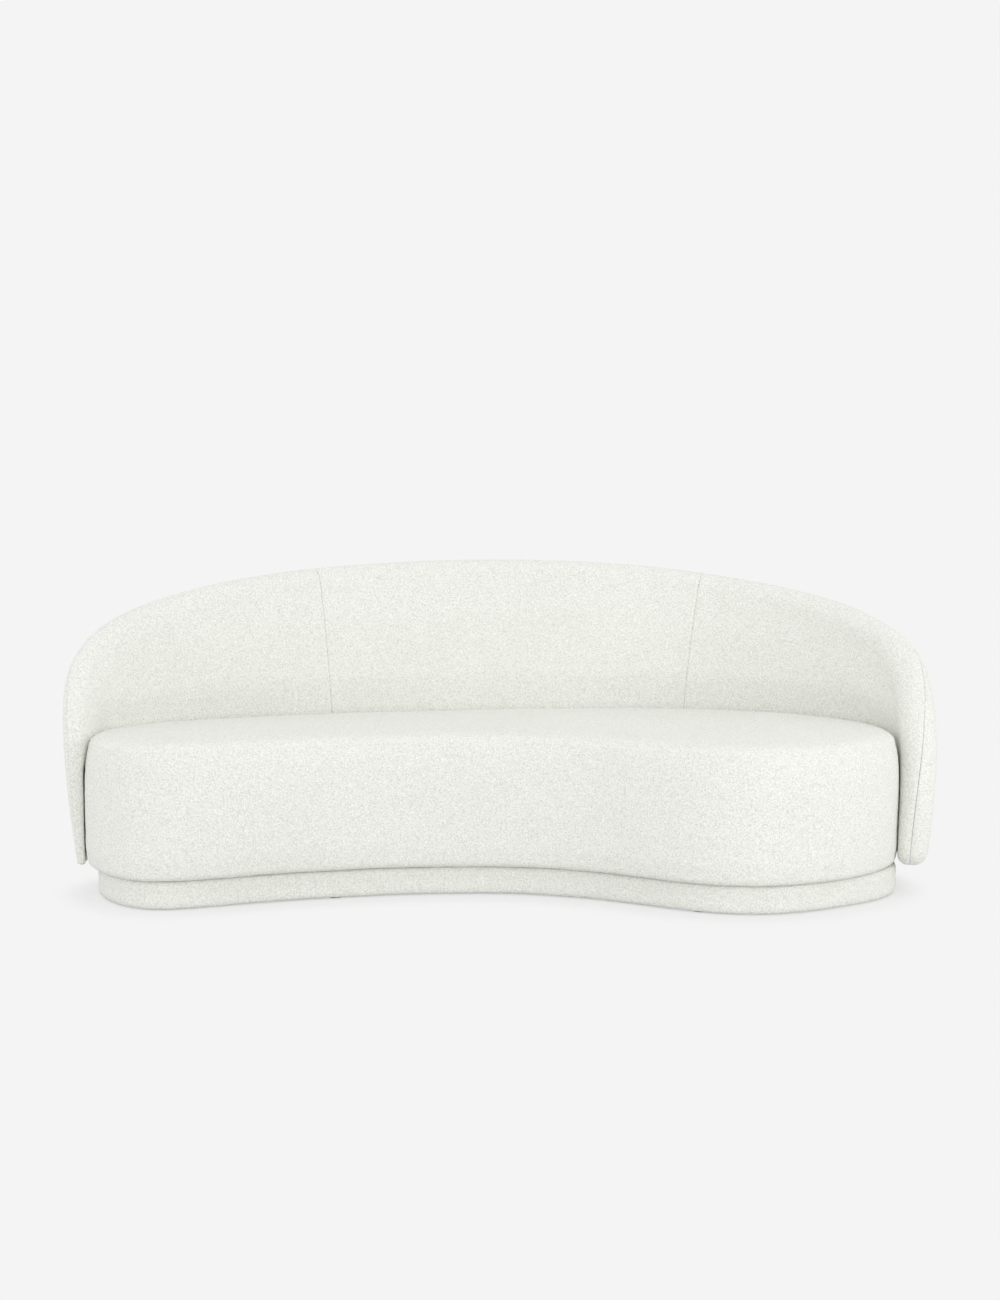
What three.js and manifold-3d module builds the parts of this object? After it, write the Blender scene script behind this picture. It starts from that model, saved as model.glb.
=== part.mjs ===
// A curved sofa on a kidney-shaped plan: an upholstered plinth, one thick seat block with a crowned top,
// and a thick back that wraps round the seat and runs down into two arms. Nothing on it moves.
// Millimetres: X to the right as seen from the front, Y to the back, Z up, the floor at Z 0.
import * as THREE from "three";
import { mergeVertices } from "three/addons/utils/BufferGeometryUtils.js";
import Module from "manifold-3d";

const wasm = await Module();
wasm.setup();

// Seat sizes
const seatWidth = 2143;
const seatDepth = 828.5;
const seatHeight = 430;
const crownRise = 25;
const seatTuck = 38;
const crownShoulder = 62;
const seatCoverThickness = 2.6;
const seatTopperThickness = 18;
const topperSkirt = 11;
const coreShoulderDrop = 17;
const seatRailInset = 7;

// Back and arm sizes
const crestHeight = 836;
const backThickness = 104;
const leftArmThickness = 46;
const rightArmThickness = 94;
const backCoverThickness = 3;
const seatToBackGap = 4.4;
const leanStart = 395;
const leanSoftening = 70;
const leanGrowthRun = 1000;
const leftThickeningRun = 800;
const rightThickeningRun = 240;
const backLean = THREE.MathUtils.degToRad(17);
const armLean = THREE.MathUtils.degToRad(1.5);

// Plinth sizes
const glideHeight = 4;
const glideDiameter = 44;
const plinthHeight = 76;
const plinthFrontInset = 34;
const plinthBackReach = 15;
const plinthRightReach = 28;
const plinthEdgeRounding = 7;
const plinthCoverThickness = 2.4;
const plinthPadThickness = 6;
const plinthLipWidth = 26;
const glideInset = 14;
const dustCoverThickness = 1;

// Timber, steel and webbing sizes
const boardThickness = 12;
const railThickness = 28;
const seatRailHeight = 138;
const crossRailWidth = 30;
const crossRailHeight = 100;
const strapThickness = 3;
const strapWidth = 44;
const strapReach = 62;
const strapTail = 150;
const boltDiameter = 8;
const boltHeadDiameter = 17;
const boltHeadHeight = 6;
const boltInset = 112;
const backBoltGrip = 30;
const springWire = 4;
const springWaveWidth = 56;
const springRise = 7;
const insulatorThickness = 4;
const frameRailDepth = 42;
const frameRibWidth = 36;
const webbingWidth = 60;
const webbingThickness = 1.5;

// Clearances
const joint = 0.3;
const panelGap = 0.45;
const timberGap = 1.2;
const ringGap = 0.9;
const sideFoamGap = 0.6;
const springGap = 1.2;
const ribTopGap = 0.9;
const webbingGap = 0.95;
const probe = 1;

// The kidney outline: control points of a closed cubic spline, as shares of the seat's width and depth
const kidneyShares = [
  [-0.5225, -0.218], [-0.5025, -0.4025], [-0.449, -0.564], [-0.387, -0.586],
  [-0.29, -0.471], [-0.152, -0.3725], [-0.007, -0.331], [0.1155, -0.424],
  [0.208, -0.597], [0.301, -0.6585], [0.404, -0.561], [0.4845, -0.3565],
  [0.4955, -0.09], [0.427, 0.178], [0.2885, 0.363], [0.0935, 0.3785],
  [-0.129, 0.295], [-0.333, 0.165], [-0.4765, -0.0165],
];
// The core line of the back's rounded rim, from the left arm's foot over the crest to the right arm's foot.
// Places along the outline are shares of its length from the back's middle, heights are shares of the rise
const archShares = [
  [-0.2565, 0], [-0.257, 0.171], [-0.258, 0.316], [-0.2585, 0.452], [-0.2525, 0.608],
  [-0.2275, 0.784], [-0.186, 0.898], [-0.1275, 0.958], [-0.059, 0.997], [0.01, 1.005],
  [0.078, 0.981], [0.137, 0.918], [0.186, 0.845], [0.2285, 0.727], [0.2455, 0.52],
  [0.257, 0.38], [0.2625, 0.265], [0.265, 0.15], [0.2655, 0],
];
// Columns of the back's grid: top and bottom places as shares of the outline's length; the two
// sewn joints of the inner back stand where one list ends and the next begins
const leftTopShares = [
  -0.2525, -0.249, -0.242, -0.2335, -0.2225, -0.2115, -0.199, -0.18, -0.156, -0.128, -0.1,
];
const leftFootShares = [
  -0.2565, -0.2535, -0.2435, -0.2325, -0.221, -0.2095, -0.196, -0.1755, -0.1495, -0.122, -0.0935,
];
const middleTopShares = [-0.0735, -0.047, -0.0205, 0.0055, 0.0315, 0.0575, 0.0835];
const middleFootShares = [-0.0695, -0.0455, -0.0215, 0.0025, 0.0265, 0.05, 0.0735];
const rightTopShares = [
  0.1095, 0.126, 0.143, 0.16, 0.1765, 0.192, 0.207, 0.2205, 0.2315, 0.241, 0.2485, 0.2535,
];
const rightFootShares = [
  0.0965, 0.1155, 0.1345, 0.1535, 0.172, 0.19, 0.207, 0.223, 0.238, 0.2515, 0.2625, 0.2655,
];
const rowShares = [0, 0.045, 0.26, 0.42, 0.56, 0.77, 1];
// How much thinner the back and the arms are at their feet, and the power of the height it comes in with
const backFootTaperShare = 0.12;
const leftFootTaperShare = 0.62;
const rightFootTaperShare = 0.26;
const footTaperPower = 1.7;
// Frame timbers and foam within the back's half thickness
const foamInnerShare = 0.5;
const frameHalfShare = 0.28;
// Seat side from the underside's lip to the top seam: draw-in as shares of the tuck, height shares
const seatSideShares = [
  [1, 0], [0.55, 0], [0.24, 0.02], [0.06, 0.1], [0, 0.3], [0, 0.6], [0.12, 0.86], [0.38, 1],
];
const seatSideLiningShares = [[1, 0], [0.55, 0], [0.06, 0.1], [0, 0.54], [0.13, 0.86], [0.38, 1]];
const sideFoamShares = [[0.55, 0], [0.06, 0.1]];
const coreShoulderShare = 0.35;
// Crown of the seat: inset shares of the shoulder, run towards the middle, and height shares of the crown
const crownShares = [
  [0.233, 0, 0], [0.38, 0, 0.36], [0.6, 0, 0.63], [1, 0, 0.8], [1, 0.4, 0.92], [1, 0.8, 1],
];
const crownLiningShares = [[0.233, 0, 0], [0.6, 0, 0.63], [1, 0, 0.8], [1, 0.8, 1]];
const middleRunShare = 0.78;
// Places along the outline or across the seat, as shares
const ribShares = [-0.196, -0.098, 0, 0.098, 0.196];
const webbingPlaceShares = [-0.147, -0.049, 0.049, 0.147];
const strapPlaceShares = [-0.1764, -0.0588, 0.0588, 0.1764];
const springShares = [-0.36, -0.216, -0.072, 0.072, 0.216, 0.36];
const seatCrossRailShares = [-0.144, 0.144];
const plinthCrossRailShares = [-0.2, 0.2];
const glidePlaceShares = [0.04, 0.215, 0.4, 0.585, 0.74, 0.9];
const plinthBackTurnShares = [-0.1, 1];
const plinthRightTurnShares = [0.55, 1];
const ribSectionShares = [0, 0.3, 0.5, 0.7, 1];
const webbingSectionShares = [0, 0.2, 0.4, 0.5, 0.6, 0.8, 1];

// Counts
const outlineStations = 44;
const splineSteps = 24;
const springWaves = 8;
const railStations = 46;
const archRailStep = 6;
const edgeColumns = 7;
const boltSides = 10;
const glideSides = 24;
const rimSteps = [90, 54, 17, -9, -35, -62, -90].map((angle) => THREE.MathUtils.degToRad(angle));
const rimLiningSteps = [90, 17, -35, -90].map((angle) => THREE.MathUtils.degToRad(angle));
const seamStep = 4;
const seamLiningStep = 2;

// Places worked out from the sizes above
const seatSeamHeight = seatHeight - crownRise;
const seatInset = seatToBackGap / 2;
const sideOut = -seatInset - seatCoverThickness - joint;
const strapBottom = plinthHeight + joint;
const seatUnderside = strapBottom + strapThickness + joint;
const shellUnderside = seatUnderside;
const coreTop = crestHeight - backThickness / 2;
const archRise = coreTop - shellUnderside;
const seatBoardTop = seatUnderside + boardThickness;
const seatRailBottom = seatBoardTop + joint;
const seatRailTop = seatRailBottom + seatRailHeight;
const insulatorBottom = seatRailTop + springWire + springRise + springGap;
const seatCoreBottom = insulatorBottom + insulatorThickness + joint;
const plinthBottom = glideHeight + joint;
const plinthRingBottom = plinthBottom + plinthCoverThickness + joint;
const plinthBoardBottom = plinthHeight - boardThickness;

// 0 below the range, 1 above it, smooth between
function ease(value) {
  const x = Math.min(1, Math.max(0, value));
  return x * x * (3 - 2 * x);
}

function mixed(a, b, share) {
  return a + (b - a) * share;
}

// Points of a uniform cubic B-spline through control points given as [x, y]
function spline(points, closed) {
  const first = points[0];
  const last = points[points.length - 1];
  const ends = (a, b) => [2 * a[0] - b[0], 2 * a[1] - b[1]];
  const list = closed
    ? [last, ...points, first, points[1]]
    : [ends(first, points[1]), ...points, ends(last, points[points.length - 2])];
  const made = [];
  for (let i = 1; i < list.length - 2; i += 1) {
    for (let k = 0; k < splineSteps; k += 1) {
      const t = k / splineSteps;
      const weights = [
        (1 - t) ** 3, 3 * t ** 3 - 6 * t ** 2 + 4, -3 * t ** 3 + 3 * t ** 2 + 3 * t + 1, t ** 3,
      ];
      const along = (axis) => weights.reduce((sum, w, j) => sum + w * list[i - 1 + j][axis], 0) / 6;
      made.push([along(0), along(1)]);
    }
  }
  if (!closed) made.push(last);
  return made;
}

// The kidney outline as points with outward normals and lengths, from the back's middle round by the right
function makeOutline() {
  const points = spline(kidneyShares.map(([x, y]) => [x * seatWidth, y * seatDepth]), true).reverse();
  const start = points.reduce(
    (best, p, i) => (p[1] > 0 && Math.abs(p[0]) < Math.abs(points[best][0]) ? i : best),
    points.findIndex((p) => p[1] > 0),
  );
  const run = [...points.slice(start), ...points.slice(0, start)];
  const count = run.length;
  const list = run.map((p, i) => {
    const before = run[(i + count - 1) % count];
    const after = run[(i + 1) % count];
    const step = Math.hypot(after[0] - before[0], after[1] - before[1]);
    const nx = (before[1] - after[1]) / step;
    const ny = (after[0] - before[0]) / step;
    return { x: p[0], y: p[1], nx, ny, at: 0 };
  });
  const apart = (a, b) => Math.hypot(a.x - b.x, a.y - b.y);
  for (let i = 1; i < count; i += 1) list[i].at = list[i - 1].at + apart(list[i], list[i - 1]);
  const length = list[count - 1].at + apart(list[0], list[count - 1]);
  list.push({ ...list[0], at: length });
  return { list, length };
}
const outline = makeOutline();

// Point and outward normal of the outline at a length from the back's middle
function outlineAt(length) {
  const at = ((length % outline.length) + outline.length) % outline.length;
  let low = 0;
  let high = outline.list.length - 1;
  while (high - low > 1) {
    const middle = (low + high) >> 1;
    if (outline.list[middle].at <= at) low = middle;
    else high = middle;
  }
  const a = outline.list[low];
  const b = outline.list[high];
  const share = (at - a.at) / (b.at - a.at);
  const normal = new THREE.Vector2(mixed(a.nx, b.nx, share), mixed(a.ny, b.ny, share)).normalize();
  return { x: mixed(a.x, b.x, share), y: mixed(a.y, b.y, share), nx: normal.x, ny: normal.y };
}

// Stations round the outline, closer together where it turns more
function makeStations() {
  const list = outline.list;
  const sums = [0];
  for (let i = 1; i < list.length; i += 1) {
    const run = list[i].at - list[i - 1].at;
    const turn = Math.abs(list[i].nx * list[i - 1].ny - list[i].ny * list[i - 1].nx);
    sums.push(sums[i - 1] + run / outline.length + Math.sqrt((turn * run) / outline.length));
  }
  const total = sums[sums.length - 1];
  const stations = [];
  let k = 0;
  for (let i = 0; i < outlineStations; i += 1) {
    const goal = (total * i) / outlineStations;
    while (sums[k + 1] < goal) k += 1;
    const share = (goal - sums[k]) / (sums[k + 1] - sums[k]);
    stations.push(outlineAt(mixed(list[k].at, list[k + 1].at, share)));
  }
  return stations;
}
const stations = makeStations();

// Middle of the kidney between its front and its back at a place across
function middleAt(x) {
  const ys = crossings(outline.list, x);
  return (Math.min(...ys) + Math.max(...ys)) / 2;
}

// Y values where a closed run of points crosses a line of constant X
function crossings(points, x) {
  const ys = [];
  points.forEach((a, i) => {
    const b = points[(i + 1) % points.length];
    if (a.x <= x !== b.x <= x) ys.push(mixed(a.y, b.y, (x - a.x) / (b.x - a.x)));
  });
  return ys;
}

// A loop round the outline at an outward offset and a height, run in towards the middle by a share
function seatLoop(offset, height, run = 0) {
  return stations.map((s) => {
    const x = s.x + s.nx * offset;
    const y = s.y + s.ny * offset;
    const goal = s.x * middleRunShare;
    return new THREE.Vector3(mixed(x, goal, run), mixed(y, middleAt(goal), run), height);
  });
}

// How far the plinth's side stands out from the outline where the outline faces this way
function plinthOffset(s) {
  const turned = (value, [from, to]) => ease((value - from) / (to - from));
  const back = turned(s.ny, plinthBackTurnShares);
  const right = turned(s.nx, plinthRightTurnShares);
  return mixed(-plinthFrontInset, plinthBackReach, back) + plinthRightReach * right;
}

function plinthPoint(s, offset, height) {
  const reach = plinthOffset(s) + offset;
  return new THREE.Vector3(s.x + s.nx * reach, s.y + s.ny * reach, height);
}

function plinthLoop(offset, height) {
  return stations.map((s) => plinthPoint(s, offset, height));
}

// The back's shape: its thickness and lean, and its middle surface

// How far a place is from the end of its arm, from 0 to 1 over a run
function endShare(s, leftRun, rightRun) {
  const [end] = archShares[s < 0 ? 0 : archShares.length - 1];
  return ease(Math.abs(end * outline.length - s) / (s < 0 ? leftRun : rightRun));
}

// Full thickness of the shell at a length along the outline and a height
function thicknessAt(s, z) {
  const grown = endShare(s, leftThickeningRun, rightThickeningRun);
  const arm = s < 0 ? leftArmThickness : rightArmThickness;
  const foot = s < 0 ? leftFootTaperShare : rightFootTaperShare;
  const taper = mixed(foot, backFootTaperShare, grown);
  const below = Math.max(0, seatHeight - z) / (seatHeight - shellUnderside);
  return mixed(arm, backThickness, grown) * (1 - taper * below ** footTaperPower);
}

// How far the shell has leant outwards at a height
function leanAt(s, z) {
  const slope = Math.tan(mixed(armLean, backLean, endShare(s, leanGrowthRun, leanGrowthRun)));
  const x = z - leanStart;
  if (x < -leanSoftening) return 0;
  if (x > leanSoftening) return slope * x;
  return (slope * (x + leanSoftening) ** 2) / (4 * leanSoftening);
}

function middlePoint(s, z) {
  const p = outlineAt(s);
  const reach = seatInset + leanAt(s, z) + thicknessAt(s, z) / 2;
  return new THREE.Vector3(p.x + p.nx * reach, p.y + p.ny * reach, z);
}

// Point of the shell's middle surface with its outward normal and half thickness
function shellAt(s, z) {
  const along = middlePoint(s + probe, z).sub(middlePoint(s - probe, z));
  const up = middlePoint(s, z + probe).sub(middlePoint(s, z - probe));
  const normal = along.cross(up).normalize();
  const p = outlineAt(s);
  if (normal.x * p.nx + normal.y * p.ny < 0) normal.negate();
  return { point: middlePoint(s, z), normal, half: thicknessAt(s, z) / 2 };
}

// Height of the core line along the shell's foot
function footHeight(s) {
  const guess = shellUnderside + thicknessAt(s, shellUnderside) / 2;
  return shellUnderside + thicknessAt(s, guess) / 2;
}

// A closed geometry from corners and triangles, turned to face outwards
function solid(corners, triangles) {
  let volume = 0;
  for (const [a, b, c] of triangles) {
    volume += corners[a].dot(new THREE.Vector3().crossVectors(corners[b], corners[c]));
  }
  const index = triangles.flatMap(([a, b, c]) => (volume < 0 ? [a, c, b] : [a, b, c]));
  const geometry = new THREE.BufferGeometry();
  const numbers = corners.flatMap((p) => p.toArray());
  geometry.setAttribute("position", new THREE.Float32BufferAttribute(numbers, 3));
  geometry.setIndex(index);
  return geometry;
}

// Two triangles for a quad
function quad(a, b, c, d) {
  return [[a, b, c], [a, c, d]];
}

function planArea(loop) {
  return Math.abs(THREE.ShapeUtils.area(loop));
}

// Walls between neighbouring loops of equal count; a closed stack joins its last loop to its first. Each
// quad is split from its wider loop's first corner, so that layers one inside the other stay parallel
function walls(loops, closed) {
  const count = loops[0].length;
  const triangles = [];
  const rows = closed ? loops.length : loops.length - 1;
  for (let r = 0; r < rows; r += 1) {
    const low = r * count;
    const next = (r + 1) % loops.length;
    const high = next * count;
    const widerLow = planArea(loops[r]) >= planArea(loops[next]);
    for (let i = 0; i < count; i += 1) {
      const j = (i + 1) % count;
      if (widerLow) triangles.push(...quad(low + i, low + j, high + j, high + i));
      else triangles.push(...quad(low + j, high + j, high + i, low + i));
    }
  }
  return triangles;
}

// A ring round the sofa whose section runs through the loops
function ringSolid(loops) {
  return solid(loops.flat(), walls(loops, true));
}

// A plate or cushion whose first and last loops are closed over
function cappedSolid(loops) {
  const count = loops[0].length;
  const last = (loops.length - 1) * count;
  const flat = (loop) => loop.map((p) => new THREE.Vector2(p.x, p.y));
  const clockwise = THREE.ShapeUtils.isClockWise(flat(loops[0]));
  const cap = (loop, shift, turned) =>
    THREE.ShapeUtils.triangulateShape(flat(loop), []).map(([a, b, c]) =>
      turned === clockwise ? [a + shift, b + shift, c + shift] : [c + shift, b + shift, a + shift],
    );
  const ends = [...cap(loops[0], 0, true), ...cap(loops[loops.length - 1], last, false)];
  return solid(loops.flat(), [...walls(loops, false), ...ends]);
}

// A bar whose sections have the same number of corners, closed at both ends
function barSolid(sections) {
  const count = sections[0].length;
  const triangles = walls(sections, false);
  const last = (sections.length - 1) * count;
  for (let i = 1; i < count - 1; i += 1) {
    triangles.push([0, i + 1, i]);
    triangles.push([last, last + i, last + i + 1]);
  }
  return solid(sections.flat(), triangles);
}

// A flat-sided block standing on a footprint of [x, y] corners
function blockSolid(corners, bottom, top) {
  const level = (height) => corners.map(([x, y]) => new THREE.Vector3(x, y, height));
  return barSolid([level(bottom), level(top)]);
}

// A geometry with others cut out of it
function cut(geometry, tools) {
  const whole = (piece) => {
    const bare = new THREE.BufferGeometry();
    bare.setAttribute("position", piece.getAttribute("position"));
    bare.setIndex(piece.index);
    const merged = mergeVertices(bare);
    return new wasm.Manifold(
      new wasm.Mesh({
        numProp: 3,
        vertProperties: new Float32Array(merged.getAttribute("position").array),
        triVerts: new Uint32Array(merged.index.array),
      }),
    );
  };
  const left = tools.reduce((body, tool) => body.subtract(whole(tool)), whole(geometry)).getMesh();
  const made = new THREE.BufferGeometry();
  made.setAttribute("position", new THREE.Float32BufferAttribute(left.vertProperties, left.numProp));
  made.setIndex(Array.from(left.triVerts));
  return made;
}

// An upright round bar between two heights
function roundBar(place, radius, sides, bottom, top) {
  const bar = new THREE.CylinderGeometry(radius, radius, top - bottom, sides);
  bar.rotateX(Math.PI / 2);
  bar.translate(place.x, place.y, (bottom + top) / 2);
  return bar;
}

// Materials
const boucle = () => new THREE.MeshStandardMaterial({ color: 0xefeee6, roughness: 0.95, metalness: 0 });
const foam = () => new THREE.MeshStandardMaterial({ color: 0xe8d9a8, roughness: 0.9, metalness: 0 });
const timber = () => new THREE.MeshStandardMaterial({ color: 0xb98d5c, roughness: 0.7, metalness: 0 });
const steel = () => new THREE.MeshStandardMaterial({ color: 0x8d9094, roughness: 0.4, metalness: 0.9 });
const felt = () => new THREE.MeshStandardMaterial({ color: 0x8a8a86, roughness: 0.95, metalness: 0 });
const lining = () => new THREE.MeshStandardMaterial({ color: 0x2b2b2c, roughness: 0.9, metalness: 0 });
const rubberised = () => new THREE.MeshStandardMaterial({ color: 0x3a3632, roughness: 0.85, metalness: 0 });

const sofa = new THREE.Group();
const parts = new THREE.Group();
sofa.add(parts);

function add(name, geometry, material) {
  const mesh = new THREE.Mesh(geometry, material);
  mesh.name = name;
  parts.add(mesh);
}

// Plinth

function strapSide(share) {
  const s = outlineAt(share * outline.length);
  const place = (offset, across) => [
    s.x + s.nx * offset - s.ny * across,
    s.y + s.ny * offset + s.nx * across,
  ];
  const half = strapWidth / 2;
  const bolt = new THREE.Vector2(...place(-boltInset, 0));
  const corners = [
    place(-strapTail, -half), place(strapReach, -half), place(strapReach, half), place(-strapTail, half),
  ];
  const foot = footHeight(share * outline.length);
  const backBolt = middlePoint(share * outline.length, foot);
  return { bolt, corners, backBolt, backBoltTop: foot + backBoltGrip };
}
const straps = strapPlaceShares.map(strapSide);
const boltHoles = straps.map(({ bolt }) =>
  roundBar(bolt, boltDiameter / 2 + joint, boltSides, plinthBoardBottom - probe, seatBoardTop + probe),
);
const backBoltHoles = straps.map(({ backBolt, backBoltTop }) =>
  roundBar(backBolt, boltDiameter / 2 + joint, boltSides, strapBottom - probe, backBoltTop + joint),
);

function addPlinth() {
  const rounding = plinthEdgeRounding;
  const cornerIn = rounding * (1 - Math.SQRT1_2);
  const side = [
    [-rounding, plinthBottom], [-cornerIn, plinthBottom + cornerIn], [0, plinthBottom + rounding],
    [0, plinthHeight - rounding], [-cornerIn, plinthHeight - cornerIn], [-rounding, plinthHeight],
  ];
  const cover = plinthCoverThickness;
  const padOut = -cover - joint;
  const padIn = padOut - plinthPadThickness;
  const ringOut = padIn - ringGap;
  const lip = -plinthLipWidth;
  const flatIn = -rounding - cover;
  const coverIn = [
    [lip, plinthHeight - cover], [flatIn, plinthHeight - cover], [-cover, plinthHeight - rounding - cover],
    [-cover, plinthBottom + rounding + cover], [flatIn, plinthBottom + cover], [lip, plinthBottom + cover],
  ];
  const coverPoints = [[lip, plinthBottom], ...side, [lip, plinthHeight], ...coverIn];
  add("plinth_cover", ringSolid(coverPoints.map(([e, z]) => plinthLoop(e, z))), boucle());

  const padTop = plinthHeight - cover - joint;
  const slantIn = flatIn - joint;
  // The padding's slanted edge, which follows the cover's, is cut off where the padding ends inwards
  const padRise = Math.max(0, rounding * (padIn - slantIn) / (padOut - slantIn));
  const padPoints = [
    [padIn, plinthRingBottom + padRise], [padOut, plinthRingBottom + rounding],
    [padOut, padTop - rounding], [padIn, padTop - padRise],
  ];
  add("plinth_padding", ringSolid(padPoints.map(([e, z]) => plinthLoop(e, z))), foam());

  const boardEdge = lip - joint;
  const ringTop = plinthBoardBottom - joint;
  const ringIn = ringOut - railThickness;
  const ringPoints = [
    [ringOut, plinthRingBottom], [ringOut, ringTop], [ringIn, ringTop], [ringIn, plinthRingBottom],
  ];
  add("plinth_ring", ringSolid(ringPoints.map(([e, z]) => plinthLoop(e, z))), timber());

  const board = cappedSolid([plinthBoardBottom, plinthHeight].map((z) => plinthLoop(boardEdge, z)));
  add("plinth_top_board", cut(board, boltHoles), timber());

  const ringLoop = plinthLoop(ringIn - timberGap, 0);
  plinthCrossRailShares.forEach((share, i) => {
    const corners = railFootprint(ringLoop, share * seatWidth);
    add(`plinth_cross_rail_${i + 1}`, blockSolid(corners, plinthRingBottom, ringTop), timber());
  });

  const dust = cappedSolid([
    plinthLoop(lip - joint, plinthBottom),
    plinthLoop(lip - joint, plinthBottom + dustCoverThickness),
  ]);
  add("dust_cover", dust, lining());

  glidePlaceShares.forEach((share, i) => {
    const s = outlineAt(share * outline.length);
    const place = plinthPoint(s, -glideDiameter / 2 - glideInset, 0);
    add(`glide_${i + 1}`, roundBar(place, glideDiameter / 2, glideSides, 0, glideHeight), rubberised());
  });
}

// Footprint of a rail across the sofa between the front and the back of a loop
function railFootprint(loop, x) {
  const half = crossRailWidth / 2;
  const left = crossings(loop, x - half);
  const right = crossings(loop, x + half);
  return [
    [x - half, Math.min(...left)], [x + half, Math.min(...right)],
    [x + half, Math.max(...right)], [x - half, Math.max(...left)],
  ];
}

// Steel straps and bolts that hold the seat and the back to the plinth

function boltSolid(place, headTop, top) {
  const headBottom = headTop - boltHeadHeight;
  const profile = [
    [0, headBottom], [boltHeadDiameter / 2, headBottom], [boltHeadDiameter / 2, headTop],
    [boltDiameter / 2, headTop], [boltDiameter / 2, top], [0, top],
  ];
  const turned = new THREE.LatheGeometry(profile.map(([r, z]) => new THREE.Vector2(r, z)), boltSides);
  turned.rotateX(Math.PI / 2);
  turned.translate(place.x, place.y, 0);
  return turned;
}

function addStraps() {
  straps.forEach(({ corners, bolt, backBolt, backBoltTop }, i) => {
    const plate = blockSolid(corners, strapBottom, strapBottom + strapThickness);
    add(`joining_strap_${i + 1}`, cut(plate, [boltHoles[i], backBoltHoles[i]]), steel());
    add(`joining_bolt_${i + 1}`, boltSolid(bolt, plinthBoardBottom - joint, seatBoardTop), steel());
    add(`back_bolt_${i + 1}`, boltSolid(backBolt, strapBottom - joint, backBoltTop), steel());
  });
}

// Seat

// Offset and height of the seat's side, a depth in from the cover's outside
function sidePoint([tuckShare, heightShare], depth) {
  const low = seatUnderside + depth;
  const offset = -seatInset - seatTuck * tuckShare - depth;
  const lip = tuckShare === 1 ? -seatInset - seatTuck : offset;
  return [lip, mixed(low, seatSeamHeight - joint / 2, heightShare)];
}

function crownLoop([insetShare, run, heightShare], depth) {
  const edge = -seatInset - mixed(0, crownShoulder, insetShare);
  const height = mixed(seatSeamHeight + joint / 2, seatHeight, heightShare) - depth;
  return seatLoop(edge - depth, height, run);
}

function addSeat() {
  const cover = seatCoverThickness;
  const seamIn = -seatInset - crownShoulder * crownShares[0][0];
  const outside = seatSideShares.map((p) => sidePoint(p, 0));
  const inside = seatSideLiningShares.map((p) => sidePoint(p, cover)).reverse();
  add("seat_side_cover", ringSolid([...outside, ...inside].map(([e, z]) => seatLoop(e, z))), boucle());

  const crownOut = crownShares.map((p) => crownLoop(p, 0));
  const crownIn = crownLiningShares.map((p) => crownLoop(p, cover)).reverse();
  crownIn[crownIn.length - 1] = seatLoop(seamIn - cover, seatSeamHeight + joint / 2);
  add("seat_top_cover", cappedSolid([...crownIn, ...crownOut]), boucle());

  const topperDepth = cover + joint;
  const coreDepth = topperDepth + seatTopperThickness + joint;
  const topperSide = (height) => seatLoop(seamIn - topperDepth, height);
  const topperTop = crownLiningShares.slice(1).map((p) => crownLoop(p, topperDepth));
  const topperUnder = crownLiningShares.slice(1).map((p) => crownLoop(p, coreDepth - joint)).reverse();
  const topperLow = seatSeamHeight - topperSkirt;
  add(
    "seat_topper",
    cappedSolid([...topperUnder, topperSide(topperLow), topperSide(seatSeamHeight - joint), ...topperTop]),
    felt(),
  );

  const coreTopLoops = crownLiningShares.slice(1).map((p) => crownLoop(p, coreDepth));
  const coreLow = seatLoop(sideOut, seatCoreBottom);
  const coreShoulder = seatLoop(sideOut - seatTuck * coreShoulderShare, seatSeamHeight - coreShoulderDrop);
  const core = cappedSolid([coreLow, coreShoulder, ...coreTopLoops]);
  add("seat_foam_core", core, foam());

  const railOut = -seatTuck - seatRailInset;
  const railIn = railOut - railThickness;
  const sideTop = seatCoreBottom - joint;
  const sideLow = seatUnderside + cover + joint;
  const boardEdge = -seatInset - seatTuck - joint;
  const foamIn = railOut + joint;
  const foamLowIn = boardEdge + sideFoamGap;
  const foamStep = seatRailBottom + sideFoamGap;
  const foamPoints = [
    [foamLowIn, sideLow],
    ...sideFoamShares.map(([tuck, rise]) => [
      sideOut - seatTuck * tuck,
      mixed(sideLow, seatSeamHeight, rise),
    ]),
    [sideOut, sideTop], [foamIn, sideTop], [foamIn, foamStep], [foamLowIn, foamStep],
  ];
  add("seat_side_foam", ringSolid(foamPoints.map(([e, z]) => seatLoop(e, z))), foam());

  const board = cappedSolid([seatLoop(boardEdge, seatUnderside), seatLoop(boardEdge, seatBoardTop)]);
  add("seat_base_board", cut(board, boltHoles), timber());
  const railPoints = [
    [railOut, seatRailBottom], [railOut, seatRailTop], [railIn, seatRailTop], [railIn, seatRailBottom],
  ];
  add("seat_perimeter_rail", ringSolid(railPoints.map(([e, z]) => seatLoop(e, z))), timber());

  const railLoop = seatLoop(railIn - timberGap, 0);
  seatCrossRailShares.forEach((share, i) => {
    const rail = blockSolid(
      railFootprint(railLoop, share * seatWidth),
      seatRailBottom,
      seatRailBottom + crossRailHeight,
    );
    add(`seat_cross_rail_${i + 1}`, rail, timber());
  });
  const restLine = seatLoop(railOut - railThickness / 2, 0);
  springShares.forEach((share, i) => {
    add(`seat_spring_${i + 1}`, springSolid(restLine, share * seatWidth), steel());
  });
  const insulator = cappedSolid([
    seatLoop(railOut, insulatorBottom),
    seatLoop(railOut, insulatorBottom + insulatorThickness),
  ]);
  add("seat_insulator_pad", insulator, felt());
}

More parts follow.
